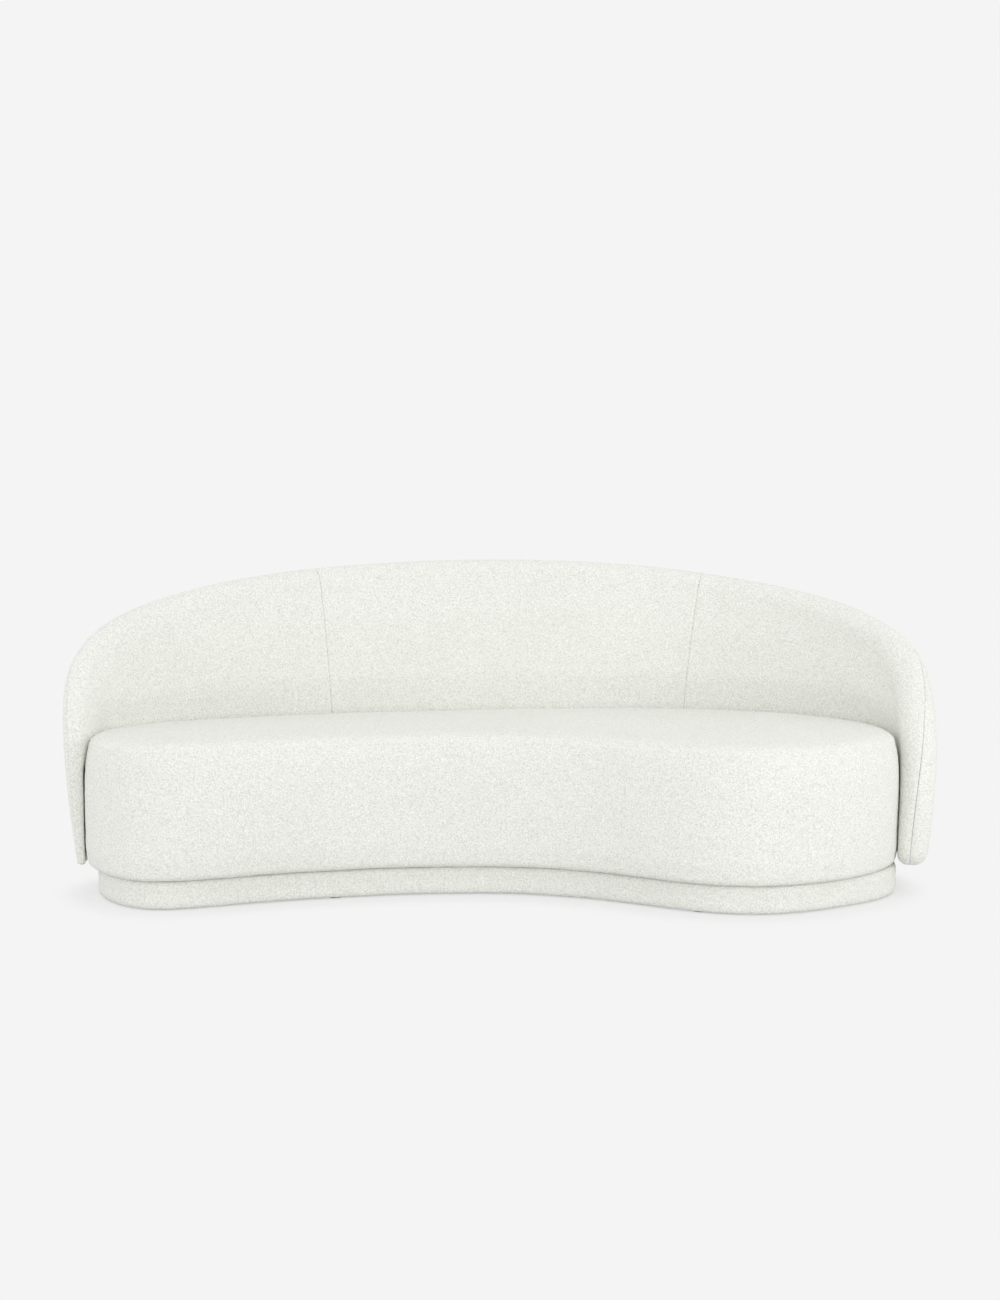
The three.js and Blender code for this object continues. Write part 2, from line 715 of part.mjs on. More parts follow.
// A zigzag wire spring from the front rail to the back rail, arched upwards in the middle
function springSolid(loop, x) {
  const ys = crossings(loop, x);
  const front = Math.min(...ys);
  const run = Math.max(...ys) - front;
  const half = springWire / 2;
  const low = seatRailTop + joint + half;
  const path = [];
  for (let k = 0; k <= springWaves * 2; k += 1) {
    const share = k / (springWaves * 2);
    const side = [0, 1, 0, -1][k % 4];
    const rise = springRise * Math.sin(Math.PI * share);
    path.push(new THREE.Vector3(x + (side * springWaveWidth) / 2, front + run * share, low + rise));
  }
  const sections = path.map((p, k) => {
    const ahead = path[Math.min(k + 1, path.length - 1)];
    const behind = path[Math.max(k - 1, 0)];
    const along = new THREE.Vector3().subVectors(ahead, behind).setZ(0).normalize();
    const across = new THREE.Vector3(-along.y, along.x, 0).multiplyScalar(half);
    const up = new THREE.Vector3(0, 0, half);
    return [
      p.clone().add(across).add(up), p.clone().add(across).sub(up),
      p.clone().sub(across).sub(up), p.clone().sub(across).add(up),
    ];
  });
  return barSolid(sections);
}

// Back and arms

const archLine = (() => {
  const points = archShares.map(([s, z]) => [s * outline.length, shellUnderside + z * archRise]);
  for (const foot of [points[0], points[points.length - 1]]) foot[1] = footHeight(foot[0]);
  return spline(points, false);
})();

// Place on the arch where one of its two values reaches a goal, looking from one index to another
function archWhere(axis, goal, from, to) {
  const step = Math.sign(to - from);
  for (let i = from; i !== to; i += step) {
    const a = archLine[i];
    const b = archLine[i + step];
    if ((a[axis] - goal) * (b[axis] - goal) <= 0 && a[axis] !== b[axis]) {
      const share = (goal - a[axis]) / (b[axis] - a[axis]);
      return [mixed(a[0], b[0], share), mixed(a[1], b[1], share)];
    }
  }
  return archLine[to];
}

// Place on the crest over a length along the outline
function crestAt(s) {
  const top = archLine.length - 1;
  const quarter = Math.round(top / 4);
  return s < 0 ? archWhere(0, s, top - quarter, 0) : archWhere(0, s, quarter, top);
}

// The grid of places (length along the outline, height) over the shell, columns by rows
const topShares = [...leftTopShares, ...middleTopShares, ...rightTopShares];
const footShares = [...leftFootShares, ...middleFootShares, ...rightFootShares];
const columns = topShares.length - 1;
const rows = rowShares.length - 1;
const leftSeam = leftTopShares.length - 1;
const rightSeam = leftSeam + middleTopShares.length + 1;

function makeGrid() {
  const top = archLine.length - 1;
  const middle = Math.round(top / 2);
  const tops = topShares.map((share) => crestAt(share * outline.length));
  const feet = footShares.map((share) => [share * outline.length, footHeight(share * outline.length)]);
  feet[0] = archLine[0];
  feet[columns] = archLine[top];
  const grid = [];
  for (let i = 0; i <= columns; i += 1) {
    grid.push(rowShares.map((v) => [mixed(feet[i][0], tops[i][0], v), mixed(feet[i][1], tops[i][1], v)]));
  }
  rowShares.forEach((v, j) => {
    if (j === 0 || j === rows) return;
    const left = archWhere(1, mixed(feet[0][1], tops[0][1], v), 0, middle);
    const right = archWhere(1, mixed(feet[columns][1], tops[columns][1], v), top, middle);
    const leftMove = left[0] - grid[0][j][0];
    const rightMove = right[0] - grid[columns][j][0];
    for (let i = 0; i <= columns; i += 1) {
      const near = ease(1 - i / edgeColumns);
      const far = ease(1 - (columns - i) / edgeColumns);
      grid[i][j][0] += near * leftMove + far * rightMove;
    }
  });
  return grid;
}
const grid = makeGrid();

// Column and row of each node of the loop round the grid: up the left, over the top, down the right, back
const loopNodes = [];
for (let j = 0; j < rows; j += 1) loopNodes.push([0, j]);
for (let i = 0; i < columns; i += 1) loopNodes.push([i, rows]);
for (let j = rows; j > 0; j -= 1) loopNodes.push([columns, j]);
for (let i = columns; i > 0; i -= 1) loopNodes.push([i, 0]);
const loopCount = loopNodes.length;
const loopPlaces = loopNodes.map(([i, j]) => {
  const at = shellAt(...grid[i][j]);
  return { ...at, column: i };
});
loopPlaces.forEach((node, k) => {
  const after = loopPlaces[(k + 1) % loopCount].point;
  const before = loopPlaces[(k + loopCount - 1) % loopCount].point;
  const toAfter = new THREE.Vector3().subVectors(after, node.point).normalize();
  const toBefore = new THREE.Vector3().subVectors(before, node.point).normalize();
  const along = toAfter.sub(toBefore).normalize();
  node.out = new THREE.Vector3().crossVectors(along, node.normal).normalize();
});
const crestNode = loopPlaces[rows + leftSeam];
if (crestNode.out.z < 0) loopPlaces.forEach((node) => node.out.negate());

// Corner of the shell's skin on the rim at an angle, or on a face, at the half thickness set by its layer
function rimCorner(k, angle, layer) {
  const { point, normal, half, out } = loopPlaces[k];
  const reach = layer(half);
  return point.clone()
    .addScaledVector(out, reach * Math.cos(angle))
    .addScaledVector(normal, -reach * Math.sin(angle));
}

function faceCorner(i, j, side, layer) {
  const { point, normal, half } = shellAt(...grid[i][j]);
  return point.clone().addScaledVector(normal, side * layer(half));
}

const loopIndex = new Map(loopNodes.map(([i, j], k) => [`${i},${j}`, k]));

// Quads of the skin as keys of corners, each with its panel's number: 0 left, 1 middle, 2 right, 3 outside
function skinQuads(steps, seam) {
  const last = steps.length - 1;
  const key = (i, j, side) => {
    const k = loopIndex.get(`${i},${j}`);
    return k === undefined ? `f,${i},${j},${side}` : `r,${k},${side < 0 ? 0 : last}`;
  };
  const panelOf = (i) => (i < leftSeam ? 0 : i < rightSeam ? 1 : 2);
  const quads = [];
  for (let i = 0; i < columns; i += 1) {
    for (let j = 0; j < rows; j += 1) {
      const inner = [key(i, j, -1), key(i + 1, j, -1), key(i + 1, j + 1, -1), key(i, j + 1, -1)];
      const outer = [key(i, j + 1, 1), key(i + 1, j + 1, 1), key(i + 1, j, 1), key(i, j, 1)];
      quads.push({ corners: inner, panel: panelOf(i) });
      quads.push({ corners: outer, panel: 3 });
    }
  }
  for (let k = 0; k < loopCount; k += 1) {
    const next = (k + 1) % loopCount;
    const column = Math.min(loopPlaces[k].column, loopPlaces[next].column);
    const panel = panelOf(Math.min(column, columns - 1));
    for (let a = 0; a < last; a += 1) {
      const corners = [`r,${k},${a}`, `r,${next},${a}`, `r,${next},${a + 1}`, `r,${k},${a + 1}`];
      quads.push({ corners, panel: a < seam ? panel : 3 });
    }
  }
  return quads;
}

// Position of a corner named by its key
function cornerAt(key, steps, layer) {
  const [kind, a, b, side] = key.split(",");
  if (kind === "r") return rimCorner(Number(a), steps[Number(b)], layer);
  return faceCorner(Number(a), Number(b), Number(side), layer);
}

// A panel of the skin between two layers, its edges drawn in by the gap
function panelSolid(panel, steps, seam, outerLayer, innerLayer) {
  const quads = skinQuads(steps, seam).filter((q) => q.panel === panel).map((q) => q.corners);
  const names = [...new Set(quads.flat())];
  const number = new Map(names.map((name, i) => [name, i]));
  const edges = new Map();
  for (const q of quads) {
    q.forEach((a, i) => {
      const b = q[(i + 1) % 4];
      if (edges.has(`${b}|${a}`)) edges.delete(`${b}|${a}`);
      else edges.set(`${a}|${b}`, [a, b]);
    });
  }
  const rimNames = new Set([...edges.values()].flat());
  const middles = new Map();
  for (const q of quads) {
    for (const name of q) {
      if (!rimNames.has(name)) continue;
      const sum = middles.get(name) ?? { at: new THREE.Vector3(), count: 0 };
      q.forEach((corner) => sum.at.add(cornerAt(corner, steps, outerLayer)));
      sum.count += 4;
      middles.set(name, sum);
    }
  }
  const layerCorners = (layer) =>
    names.map((name) => {
      const p = cornerAt(name, steps, layer);
      if (!rimNames.has(name)) return p;
      const sum = middles.get(name);
      const outer = cornerAt(name, steps, outerLayer);
      const inwards = sum.at.clone().divideScalar(sum.count).sub(outer).normalize();
      return p.addScaledVector(inwards, panelGap);
    });
  const count = names.length;
  const triangles = [];
  for (const q of quads) {
    const [a, b, c, d] = q.map((name) => number.get(name));
    triangles.push(...quad(a, b, c, d), ...quad(a + count, d + count, c + count, b + count));
  }
  for (const [a, b] of edges.values()) {
    const i = number.get(a);
    const j = number.get(b);
    if (a < b) triangles.push(...quad(j, i, i + count, j + count));
    else triangles.push(...quad(i, i + count, j + count, j));
  }
  return solid([...layerCorners(outerLayer), ...layerCorners(innerLayer)], triangles);
}

const panelNames = ["left", "centre", "right"];

function addBackSkin() {
  const outside = (half) => half;
  const coverInside = (half) => half - backCoverThickness;
  const padOutside = (half) => half - backCoverThickness - joint;
  const padInside = (half) => half * foamInnerShare;
  panelNames.forEach((name, panel) => {
    const cover = panelSolid(panel, rimSteps, seamStep, outside, coverInside);
    add(`inner_back_cover_${name}`, cut(cover, backBoltHoles), boucle());
    const pad = panelSolid(panel, rimLiningSteps, seamLiningStep, padOutside, padInside);
    add(`inner_back_foam_${name}`, cut(pad, backBoltHoles), foam());
  });
  add("outer_back_cover", panelSolid(3, rimSteps, seamStep, outside, coverInside), boucle());
  add("outer_back_padding", panelSolid(3, rimLiningSteps, seamLiningStep, padOutside, padInside), foam());
}

// Four corners of a timber section at two places of the shell, within the frame's half thickness
function frameSection(inner, outer) {
  const a = shellAt(...inner);
  const b = shellAt(...outer);
  const reachA = a.half * frameHalfShare;
  const reachB = b.half * frameHalfShare;
  return [
    a.point.clone().addScaledVector(a.normal, -reachA), a.point.clone().addScaledVector(a.normal, reachA),
    b.point.clone().addScaledVector(b.normal, reachB), b.point.clone().addScaledVector(b.normal, -reachB),
  ];
}

// Height just under the arch rail over a length along the outline
function archUnderside(s) {
  const before = crestAt(s - probe);
  const after = crestAt(s + probe);
  const run = after[0] - before[0];
  const steepness = Math.hypot(run, after[1] - before[1]) / run;
  return crestAt(s)[1] - (frameRailDepth + ribTopGap) * steepness;
}

function addBackFrame() {
  const railTop = (s) => footHeight(s) + frameRailDepth;
  const from = archLine[0][0] + timberGap;
  const run = archLine[archLine.length - 1][0] - timberGap - from;
  const bottom = Array.from({ length: railStations + 1 }, (_, i) => {
    const s = from + (run * i) / railStations;
    return frameSection([s, footHeight(s) + timberGap], [s, railTop(s)]);
  });
  add("back_bottom_rail", cut(barSolid(bottom), backBoltHoles), timber());

  const top = archLine.length - 1;
  const arch = [];
  for (let i = 0; i <= top; i += archRailStep) {
    const [s, z] = archLine[i];
    if (z < railTop(s) + timberGap) continue;
    const ahead = archLine[Math.min(i + 1, top)];
    const behind = archLine[Math.max(i - 1, 0)];
    const way = new THREE.Vector2(ahead[0] - behind[0], ahead[1] - behind[1]).normalize();
    const inwards = [way.y, -way.x];
    const step = (depth) => [s + inwards[0] * depth, z + inwards[1] * depth];
    arch.push(frameSection(step(timberGap), step(frameRailDepth)));
  }
  add("back_arch_rail", barSolid(arch), timber());

  ribShares.forEach((share, i) => {
    const ends = [-frameRibWidth / 2, frameRibWidth / 2].map((aside) => {
      const s = share * outline.length + aside;
      return { s, foot: railTop(s) + joint, head: archUnderside(s) };
    });
    const sections = ribSectionShares.map((v) =>
      frameSection(...ends.map(({ s, foot, head }) => [s, mixed(foot, head, v)])),
    );
    add(`back_rib_${i + 1}`, barSolid(sections), timber());
  });

  webbingPlaceShares.forEach((share, i) => {
    const s = share * outline.length;
    const half = webbingWidth / 2;
    const foot = railTop(s) - frameRailDepth / 2;
    const high = crestAt(s)[1] - frameRailDepth / 2;
    const sections = webbingSectionShares.map((v) => {
      const z = mixed(foot, high, v);
      return [s - half, s + half].flatMap((at, k) => {
        const { point, normal, half: reach } = shellAt(at, z);
        const near = -(reach * frameHalfShare + webbingGap);
        const far = near - webbingThickness;
        const pair = [near, far].map((depth) => point.clone().addScaledVector(normal, depth));
        return k === 0 ? pair : pair.reverse();
      });
    });
    add(`back_webbing_${i + 1}`, barSolid(sections), rubberised());
  });
}

addPlinth();
addStraps();
addSeat();
addBackFrame();
addBackSkin();

// The origin is on the floor, at the middle of the sofa's outer box
const box = new THREE.Box3().setFromObject(parts);
const centre = box.getCenter(new THREE.Vector3());
parts.position.set(-centre.x, -centre.y, 0);

export default sofa;
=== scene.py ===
# Looks of a curved sofa: looped cream cloth over a plinth, one thick seat and a back that wraps
# into arms. Metres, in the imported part's own frame: X to the right, Y to the back, Z up.
import math

import bpy
import numpy as np
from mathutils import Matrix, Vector, noise
from mathutils.geometry import delaunay_2d_cdt


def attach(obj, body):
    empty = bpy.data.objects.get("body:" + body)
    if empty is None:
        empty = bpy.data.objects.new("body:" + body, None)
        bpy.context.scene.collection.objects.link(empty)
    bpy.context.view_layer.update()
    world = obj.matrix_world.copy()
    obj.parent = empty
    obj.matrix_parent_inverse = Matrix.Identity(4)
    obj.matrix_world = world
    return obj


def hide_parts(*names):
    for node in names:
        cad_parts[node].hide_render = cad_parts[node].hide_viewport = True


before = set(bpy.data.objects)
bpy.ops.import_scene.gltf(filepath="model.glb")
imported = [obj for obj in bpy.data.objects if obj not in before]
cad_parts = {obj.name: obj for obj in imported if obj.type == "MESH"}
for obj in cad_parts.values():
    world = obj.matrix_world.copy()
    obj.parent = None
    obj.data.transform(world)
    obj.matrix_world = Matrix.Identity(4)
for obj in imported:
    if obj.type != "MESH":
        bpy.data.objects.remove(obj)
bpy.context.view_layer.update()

# Seat sizes
SEAT_WIDTH = 2.143
SEAT_DEPTH = 0.8285
SEAT_SEAM_HEIGHT = 0.405
SEAT_HEIGHT = 0.430
SEAT_UNDERSIDE = 0.0796
SEAT_TUCK = 0.038
SEAT_INSET = 0.0022
# The seat's side in section: shares of the tuck inwards, and of the rise from underside to seam
SEAT_SIDE = np.array([
    (1, 0), (0.55, 0), (0.24, 0.02), (0.06, 0.1), (0, 0.3), (0, 0.6), (0.05, 0.76), (0.15, 0.88),
    (0.38, 1),
])
# The seat's crown: depths in from its side, and the shares of the rise from seam to top there
CROWN_DEPTHS = np.array([0.0144, 0.0236, 0.0372, 0.062, 0.12, 0.18, 0.26, 0.42])
CROWN_SHARES = np.array([0, 0.36, 0.63, 0.8, 0.9, 0.955, 0.99, 1.0])
# The crown's shoulder is swept in rows: the first beside the seam, then others as far as its end
SHOULDER_SEAM_STEP = 0.0022
SHOULDER_START = 0.0206
SHOULDER_STEP = 0.0058
SHOULDER_END = 0.062

# Back and arm sizes
CREST_CORE = 0.784
BACK_THICKNESS = 0.104
LEFT_ARM_THICKNESS = 0.046
RIGHT_ARM_THICKNESS = 0.094
LEAN_START = 0.395
LEAN_SOFTENING = 0.070
LEAN_GROWTH_RUN = 1.0
LEFT_THICKENING_RUN = 0.8
RIGHT_THICKENING_RUN = 0.24
BACK_LEAN = math.radians(17)
ARM_LEAN = math.radians(1.5)
BACK_FOOT_TAPER = 0.12
LEFT_FOOT_TAPER = 0.62
RIGHT_FOOT_TAPER = 0.26
FOOT_TAPER_POWER = 1.7

# Plinth sizes. Its reaches to the back and the right grow with the Y and X parts of the outline's
# normal, from the two FROM values up to 1
PLINTH_BOTTOM = 0.0043
PLINTH_HEIGHT = 0.076
PLINTH_FRONT_INSET = 0.034
PLINTH_BACK_REACH = 0.015
PLINTH_BACK_FROM = -0.1
PLINTH_RIGHT_REACH = 0.028
PLINTH_RIGHT_FROM = 0.55
PLINTH_ROUNDING = 0.007
PLINTH_TOP_ROUNDING = 0.011
PLINTH_LIP = 0.026
PLINTH_STEP = 0.0045

# Lining under the base
LINING_INSET = 0.016
LINING_LEVEL = 0.0032
LINING_SAG = 0.0012
LINING_SAG_RUN = 0.15
LINING_STEP = 0.03

# The middle of the sofa's box, in the outline's own coordinates
CENTRE = np.array([-0.002264, 0.001969, 0.0])

# Cloth: how far the pile stands out, how uneven it is, and how the sewn seams lie in it
PILE = 0.0011
PILE_ROUGHNESS = 0.001
PILE_SIZE = 0.0115
SWELL = 0.0012
SWELL_SIZE = 0.13
SWELL_SEED = 20
NOISE_SHIFT = (3.1, 1.7, 2.3)
SEAM_DEPTH = 0.0013
SEAT_SEAM_DEPTH = 0.0006
SEAM_WIDTH = 0.003
SEAM_SHARPNESS = 1.3
SEAM_SLIT = 0.00025
SEAM_TUCK = 0.006
SEAT_SEAM_LAP = 0.004
# A distance at which no seam's groove is left
FAR = 1.0
# The inner back's fuller middle: its depth, and how it comes in from the rim and upwards
PLUMP_DEPTH = 0.010
PLUMP_RUN = 0.13
PLUMP_RISE = 0.08
# The left arm's thicker padding: its depth, and how it comes in from the rim, upwards and along
ARM_PLUMP_DEPTH = 0.030
ARM_PLUMP_RUN = 0.055
ARM_PLUMP_FOOT = 0.32
ARM_PLUMP_RISE = 0.10
ARM_PLUMP_START = 0.18
ARM_PLUMP_FADE = 0.45
# How square the rim's inner side is at the foot of each arm, where 2 is round; how far up it is so,
# over what height it fades, and how far along the back
LEFT_SQUARENESS = 3.4
RIGHT_SQUARENESS = 2.9
LEFT_SQUARE_TOP = 0.36
RIGHT_SQUARE_TOP = 0.13
SQUARE_FADE = 0.12
EDGE_RUN = 0.3

# The kidney outline's control points, as shares of the seat's width and depth
KIDNEY = np.array([
    (-0.5225, -0.218), (-0.5025, -0.4025), (-0.449, -0.564), (-0.387, -0.586), (-0.29, -0.471),
    (-0.152, -0.3725), (-0.007, -0.331), (0.1155, -0.424), (0.208, -0.597), (0.301, -0.6585),
    (0.404, -0.561), (0.4845, -0.3565), (0.4955, -0.09), (0.427, 0.178), (0.2885, 0.363),
    (0.0935, 0.3785), (-0.129, 0.295), (-0.333, 0.165), (-0.4765, -0.0165),
])
# The core line of the back's rim: shares of the outline's length from the back's middle, and of
# the rise from the seat's underside to the crest
ARCH = np.array([
    (-0.2565, 0), (-0.257, 0.171), (-0.258, 0.316), (-0.2585, 0.452), (-0.2523, 0.604),
    (-0.2288, 0.807), (-0.1874, 0.908), (-0.1275, 0.961), (-0.059, 0.9955), (0.01, 1.005),
    (0.078, 0.981), (0.137, 0.918), (0.186, 0.845), (0.2285, 0.727), (0.2455, 0.52), (0.257, 0.38),
    (0.2625, 0.265), (0.265, 0.15), (0.2655, 0),
])
# Columns of the back from left to right, as shares of the outline's length at its top and its foot
TOP_SHARES = np.array([
    -0.2525, -0.249, -0.242, -0.2335, -0.2225, -0.2115, -0.199, -0.18, -0.156, -0.128, -0.1,
    -0.0735, -0.047, -0.0205, 0.0055, 0.0315, 0.0575, 0.0835, 0.1085, 0.126, 0.143, 0.16, 0.1765,
    0.192, 0.207, 0.2205, 0.2315, 0.241, 0.2485, 0.2535,
])
FOOT_SHARES = np.array([
    -0.2565, -0.2535, -0.2435, -0.2325, -0.221, -0.2095, -0.196, -0.1755, -0.1495, -0.122, -0.0935,
    -0.0695, -0.0455, -0.0215, 0.0025, 0.0265, 0.05, 0.0735, 0.0955, 0.1155, 0.1345, 0.1535, 0.172,
    0.19, 0.207, 0.223, 0.238, 0.2515, 0.2625, 0.2655,
])
COLUMNS = len(TOP_SHARES) - 1
# The columns at the inner back's two sewn joints, and how many bend towards each end's edge
LEFT_JOINT = 10
RIGHT_JOINT = 18
EDGE_COLUMNS = 7
# The seam round the rim: its angle in degrees, and its angles at rising heights on the right arm
OUTER_SEAM_ANGLE = -35
ARM_SEAM_HEIGHTS = np.array([0.08, 0.2, 0.32, 0.42, 0.5, 0.6, 0.7])
ARM_SEAM_ANGLES = np.array([6, 1, -5, -10, -19, -30, OUTER_SEAM_ANGLE])
ARM_SEAM_START = 0.205
ARM_SEAM_RUN = 0.03

# How fine the lines and meshes are
SPLINE_STEPS = 96
MESH_STEP = 0.006
BACK_ROWS = 108
INNER_RIM_STEPS = 17
OUTER_RIM_STEPS = 9
CORNER_STEPS = 7
JOINT_COLUMNS = np.array([0, 0.0015, 0.0035, 0.006, 0.0095])
SEAM_ANGLES = np.radians([0.6, 2.5, 5, 9])
FIELD_ROW_SHARE = 0.866
FIELD_STEP = MESH_STEP * 1.12
FIELD_MARGIN = MESH_STEP * 0.7
NEAREST_STRIDE = 3
NEAREST_BLOCK = 2000
SLOPE_PROBE = 0.001


def ease(value):
    x = np.clip(value, 0.0, 1.0)
    return x * x * (3 - 2 * x)


def mixed(a, b, share):
    return a + (b - a) * share


def unit_rows(rows):
    return rows / np.linalg.norm(rows, axis=-1)[..., None]


def lengths_along(points):
    """How far along a line each of its points lies."""
    return np.concatenate([[0], np.cumsum(np.linalg.norm(np.diff(points, axis=0), axis=1))])


def spline(points, closed):
    """Points of the uniform cubic B-spline with these control points."""
    if closed:
        run = np.vstack([points[-1:], points, points[:2]])
    else:
        first = 2 * points[0] - points[1]
        last = 2 * points[-1] - points[-2]
        run = np.vstack([first, points, last])
    t = (np.arange(SPLINE_STEPS) / SPLINE_STEPS)[:, None]
    weights = [(1 - t) ** 3, 3 * t**3 - 6 * t**2 + 4, -3 * t**3 + 3 * t**2 + 3 * t + 1, t**3]
    made = [
        sum(w * run[i + k] for k, w in enumerate(weights)) / 6
        for i in range(len(run) - 3)
    ]
    if not closed:
        made.append(points[-1:])
    return np.vstack(made)


def smooth_curve(knots, values, at):
    """A smooth line through values at rising knots."""
    slopes = np.gradient(values, knots)
    k = np.clip(np.searchsorted(knots, at) - 1, 0, len(knots) - 2)
    run = knots[k + 1] - knots[k]
    t = np.clip((at - knots[k]) / run, 0, 1)
    start = (2 * t**3 - 3 * t**2 + 1) * values[k] + (t**3 - 2 * t**2 + t) * run * slopes[k]
    end = (3 * t**2 - 2 * t**3) * values[k + 1] + (t**3 - t**2) * run * slopes[k + 1]
    return start + end


# Outline and back surface


def make_outline():
    """The outline from the back's middle round by the right: lengths, rows of point and normal."""
    points = spline(KIDNEY * (SEAT_WIDTH, SEAT_DEPTH), True)[::-1]
    behind = np.where(points[:, 1] > 0, np.abs(points[:, 0]), np.inf)
    points = np.roll(points, -int(np.argmin(behind)), axis=0)
    ahead = np.roll(points, -1, axis=0) - np.roll(points, 1, axis=0)
    rows = np.hstack([points, unit_rows(np.column_stack([-ahead[:, 1], ahead[:, 0]]))])
    rows = np.vstack([rows, rows[:1]])
    return lengths_along(rows[:, :2]), rows


OUTLINE_AT, OUTLINE = make_outline()
LENGTH = OUTLINE_AT[-1]


def outline_at(s):
    """Points and unit normals of the outline at lengths from the back's middle."""
    at = np.mod(s, LENGTH)
    values = [np.interp(at, OUTLINE_AT, OUTLINE[:, k]) for k in range(4)]
    size = np.hypot(values[2], values[3])
    return values[0], values[1], values[2] / size, values[3] / size


def end_share(s, left_run, right_run):
    """0 at the end of an arm, rising to 1 at a run's length from it."""
    end = np.where(s < 0, ARCH[0, 0], ARCH[-1, 0]) * LENGTH
    return ease(np.abs(end - s) / np.where(s < 0, left_run, right_run))


def thickness(s, z):
    grown = end_share(s, LEFT_THICKENING_RUN, RIGHT_THICKENING_RUN)
    arm = np.where(s < 0, LEFT_ARM_THICKNESS, RIGHT_ARM_THICKNESS)
    foot = np.where(s < 0, LEFT_FOOT_TAPER, RIGHT_FOOT_TAPER)
    taper = mixed(foot, BACK_FOOT_TAPER, grown)
    below = np.maximum(0, SEAT_HEIGHT - z) / (SEAT_HEIGHT - SEAT_UNDERSIDE)
    return mixed(arm, BACK_THICKNESS, grown) * (1 - taper * below**FOOT_TAPER_POWER)


def lean(s, z):
    slope = np.tan(mixed(ARM_LEAN, BACK_LEAN, end_share(s, LEAN_GROWTH_RUN, LEAN_GROWTH_RUN)))
    x = z - LEAN_START
    soft = slope * (x + LEAN_SOFTENING) ** 2 / (4 * LEAN_SOFTENING)
    return np.where(x < -LEAN_SOFTENING, 0, np.where(x > LEAN_SOFTENING, slope * x, soft))


def middle(s, z):
    x, y, nx, ny = outline_at(s)
    reach = SEAT_INSET + lean(s, z) + thickness(s, z) / 2
    return np.stack([x + nx * reach, y + ny * reach, z + 0 * x], axis=-1)


def shell(s, z):
    """The back's middle surface: points, outward normals and half thicknesses."""
    along = middle(s + SLOPE_PROBE, z) - middle(s - SLOPE_PROBE, z)
    up = middle(s, z + SLOPE_PROBE) - middle(s, z - SLOPE_PROBE)
    normal = unit_rows(np.cross(along, up))
    _, _, nx, ny = outline_at(s)
    side = np.sign(normal[..., 0] * nx + normal[..., 1] * ny)
    return middle(s, z), normal * side[..., None], thickness(s, z) / 2


def foot_height(s):
    """The height of the rim's core line at the foot, half a thickness above the underside."""
    guess = SEAT_UNDERSIDE + thickness(s, SEAT_UNDERSIDE) / 2
    return SEAT_UNDERSIDE + thickness(s, guess) / 2


def make_arch():
    heights = mixed(SEAT_UNDERSIDE, CREST_CORE, ARCH[:, 1])
    points = np.column_stack([ARCH[:, 0] * LENGTH, heights])
    for end in (0, -1):
        points[end, 1] = foot_height(points[end, 0])
    return spline(points, False)


ARCH_LINE = make_arch()
ARCH_LEFT = int(np.argmin(ARCH_LINE[:, 0]))
ARCH_RIGHT = int(np.argmax(ARCH_LINE[:, 0]))
ARCH_TOP = int(np.argmax(ARCH_LINE[:, 1]))


def crest_at(s):
    part = ARCH_LINE[ARCH_LEFT : ARCH_RIGHT + 1]
    return np.interp(s, part[:, 0], part[:, 1])


# Mesh making


def piece(name, points, faces, material, nodes):
    """A cloth piece from points and faces, which stands for CAD nodes."""
    mesh = bpy.data.meshes.new(name)
    mesh.from_pydata((points - CENTRE).tolist(), [], faces)
    mesh.validate()
    mesh.polygons.foreach_set("use_smooth", [True] * len(mesh.polygons))
    mesh.materials.append(material)
    made = bpy.data.objects.new(name, mesh)
    bpy.context.scene.collection.objects.link(made)
    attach(made, "root")
    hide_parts(*nodes)
    return made


def surface_noise(points, size, seed):
    shift = Vector([seed * step for step in NOISE_SHIFT])
    return np.array([noise.noise(Vector(p) / size + shift) for p in points])


def finished(points, normals, distance, seed, seam_depth=SEAM_DEPTH):
    """Points with the pile, a slight swell, and the groove along a seam at a distance."""
    pile = surface_noise(points, PILE_SIZE, seed) * PILE_ROUGHNESS
    swell = surface_noise(points, SWELL_SIZE, seed + SWELL_SEED) * SWELL
    near = np.exp(-((distance / SEAM_WIDTH) ** SEAM_SHARPNESS))
    out = PILE + (pile + swell) * (1 - near) - seam_depth * near
    return points + normals * out[:, None]


def ring_faces(rows, columns):
    """Quads between rows of points that run round, so each row's last is next to its first."""
    faces = []
    for start in range(0, (rows - 1) * columns, columns):
        for c in range(columns):
            d = (c + 1) % columns
            faces.append((start + c, start + columns + c, start + columns + d, start + d))
    return faces


def section_normals(points):
    """Unit normals to the right of a line in section."""
    ahead = np.gradient(points, axis=0)
    return unit_rows(np.column_stack([ahead[:, 1], -ahead[:, 0]]))


def profile_points(corners, step):
    """Evenly spaced points along a smooth line through corners, with their normals and places."""
    run = lengths_along(corners)
    at = np.linspace(0, run[-1], int(run[-1] / step) + 2)
    points = np.column_stack([smooth_curve(run, corners[:, k], at) for k in range(2)])
    return points, section_normals(points), at


def swept(section, normals, reach):
    """Points and normals of a section of offsets and heights swept round the outline."""
    count = int(LENGTH / MESH_STEP)
    x, y, nx, ny = outline_at(np.arange(count) * LENGTH / count)
    offset = section[:, 0][:, None] + reach(nx, ny)[None, :]
    height = np.repeat(section[:, 1][:, None], count, axis=1)
    points = np.stack([x + nx * offset, y + ny * offset, height], axis=-1)
    across = normals[:, 0][:, None]
    up = np.repeat(normals[:, 1][:, None], count, axis=1)
    facing = np.stack([nx * across, ny * across, up], axis=-1)
    return points.reshape(-1, 3), facing.reshape(-1, 3), count


def no_reach(nx, ny):
    return 0 * nx


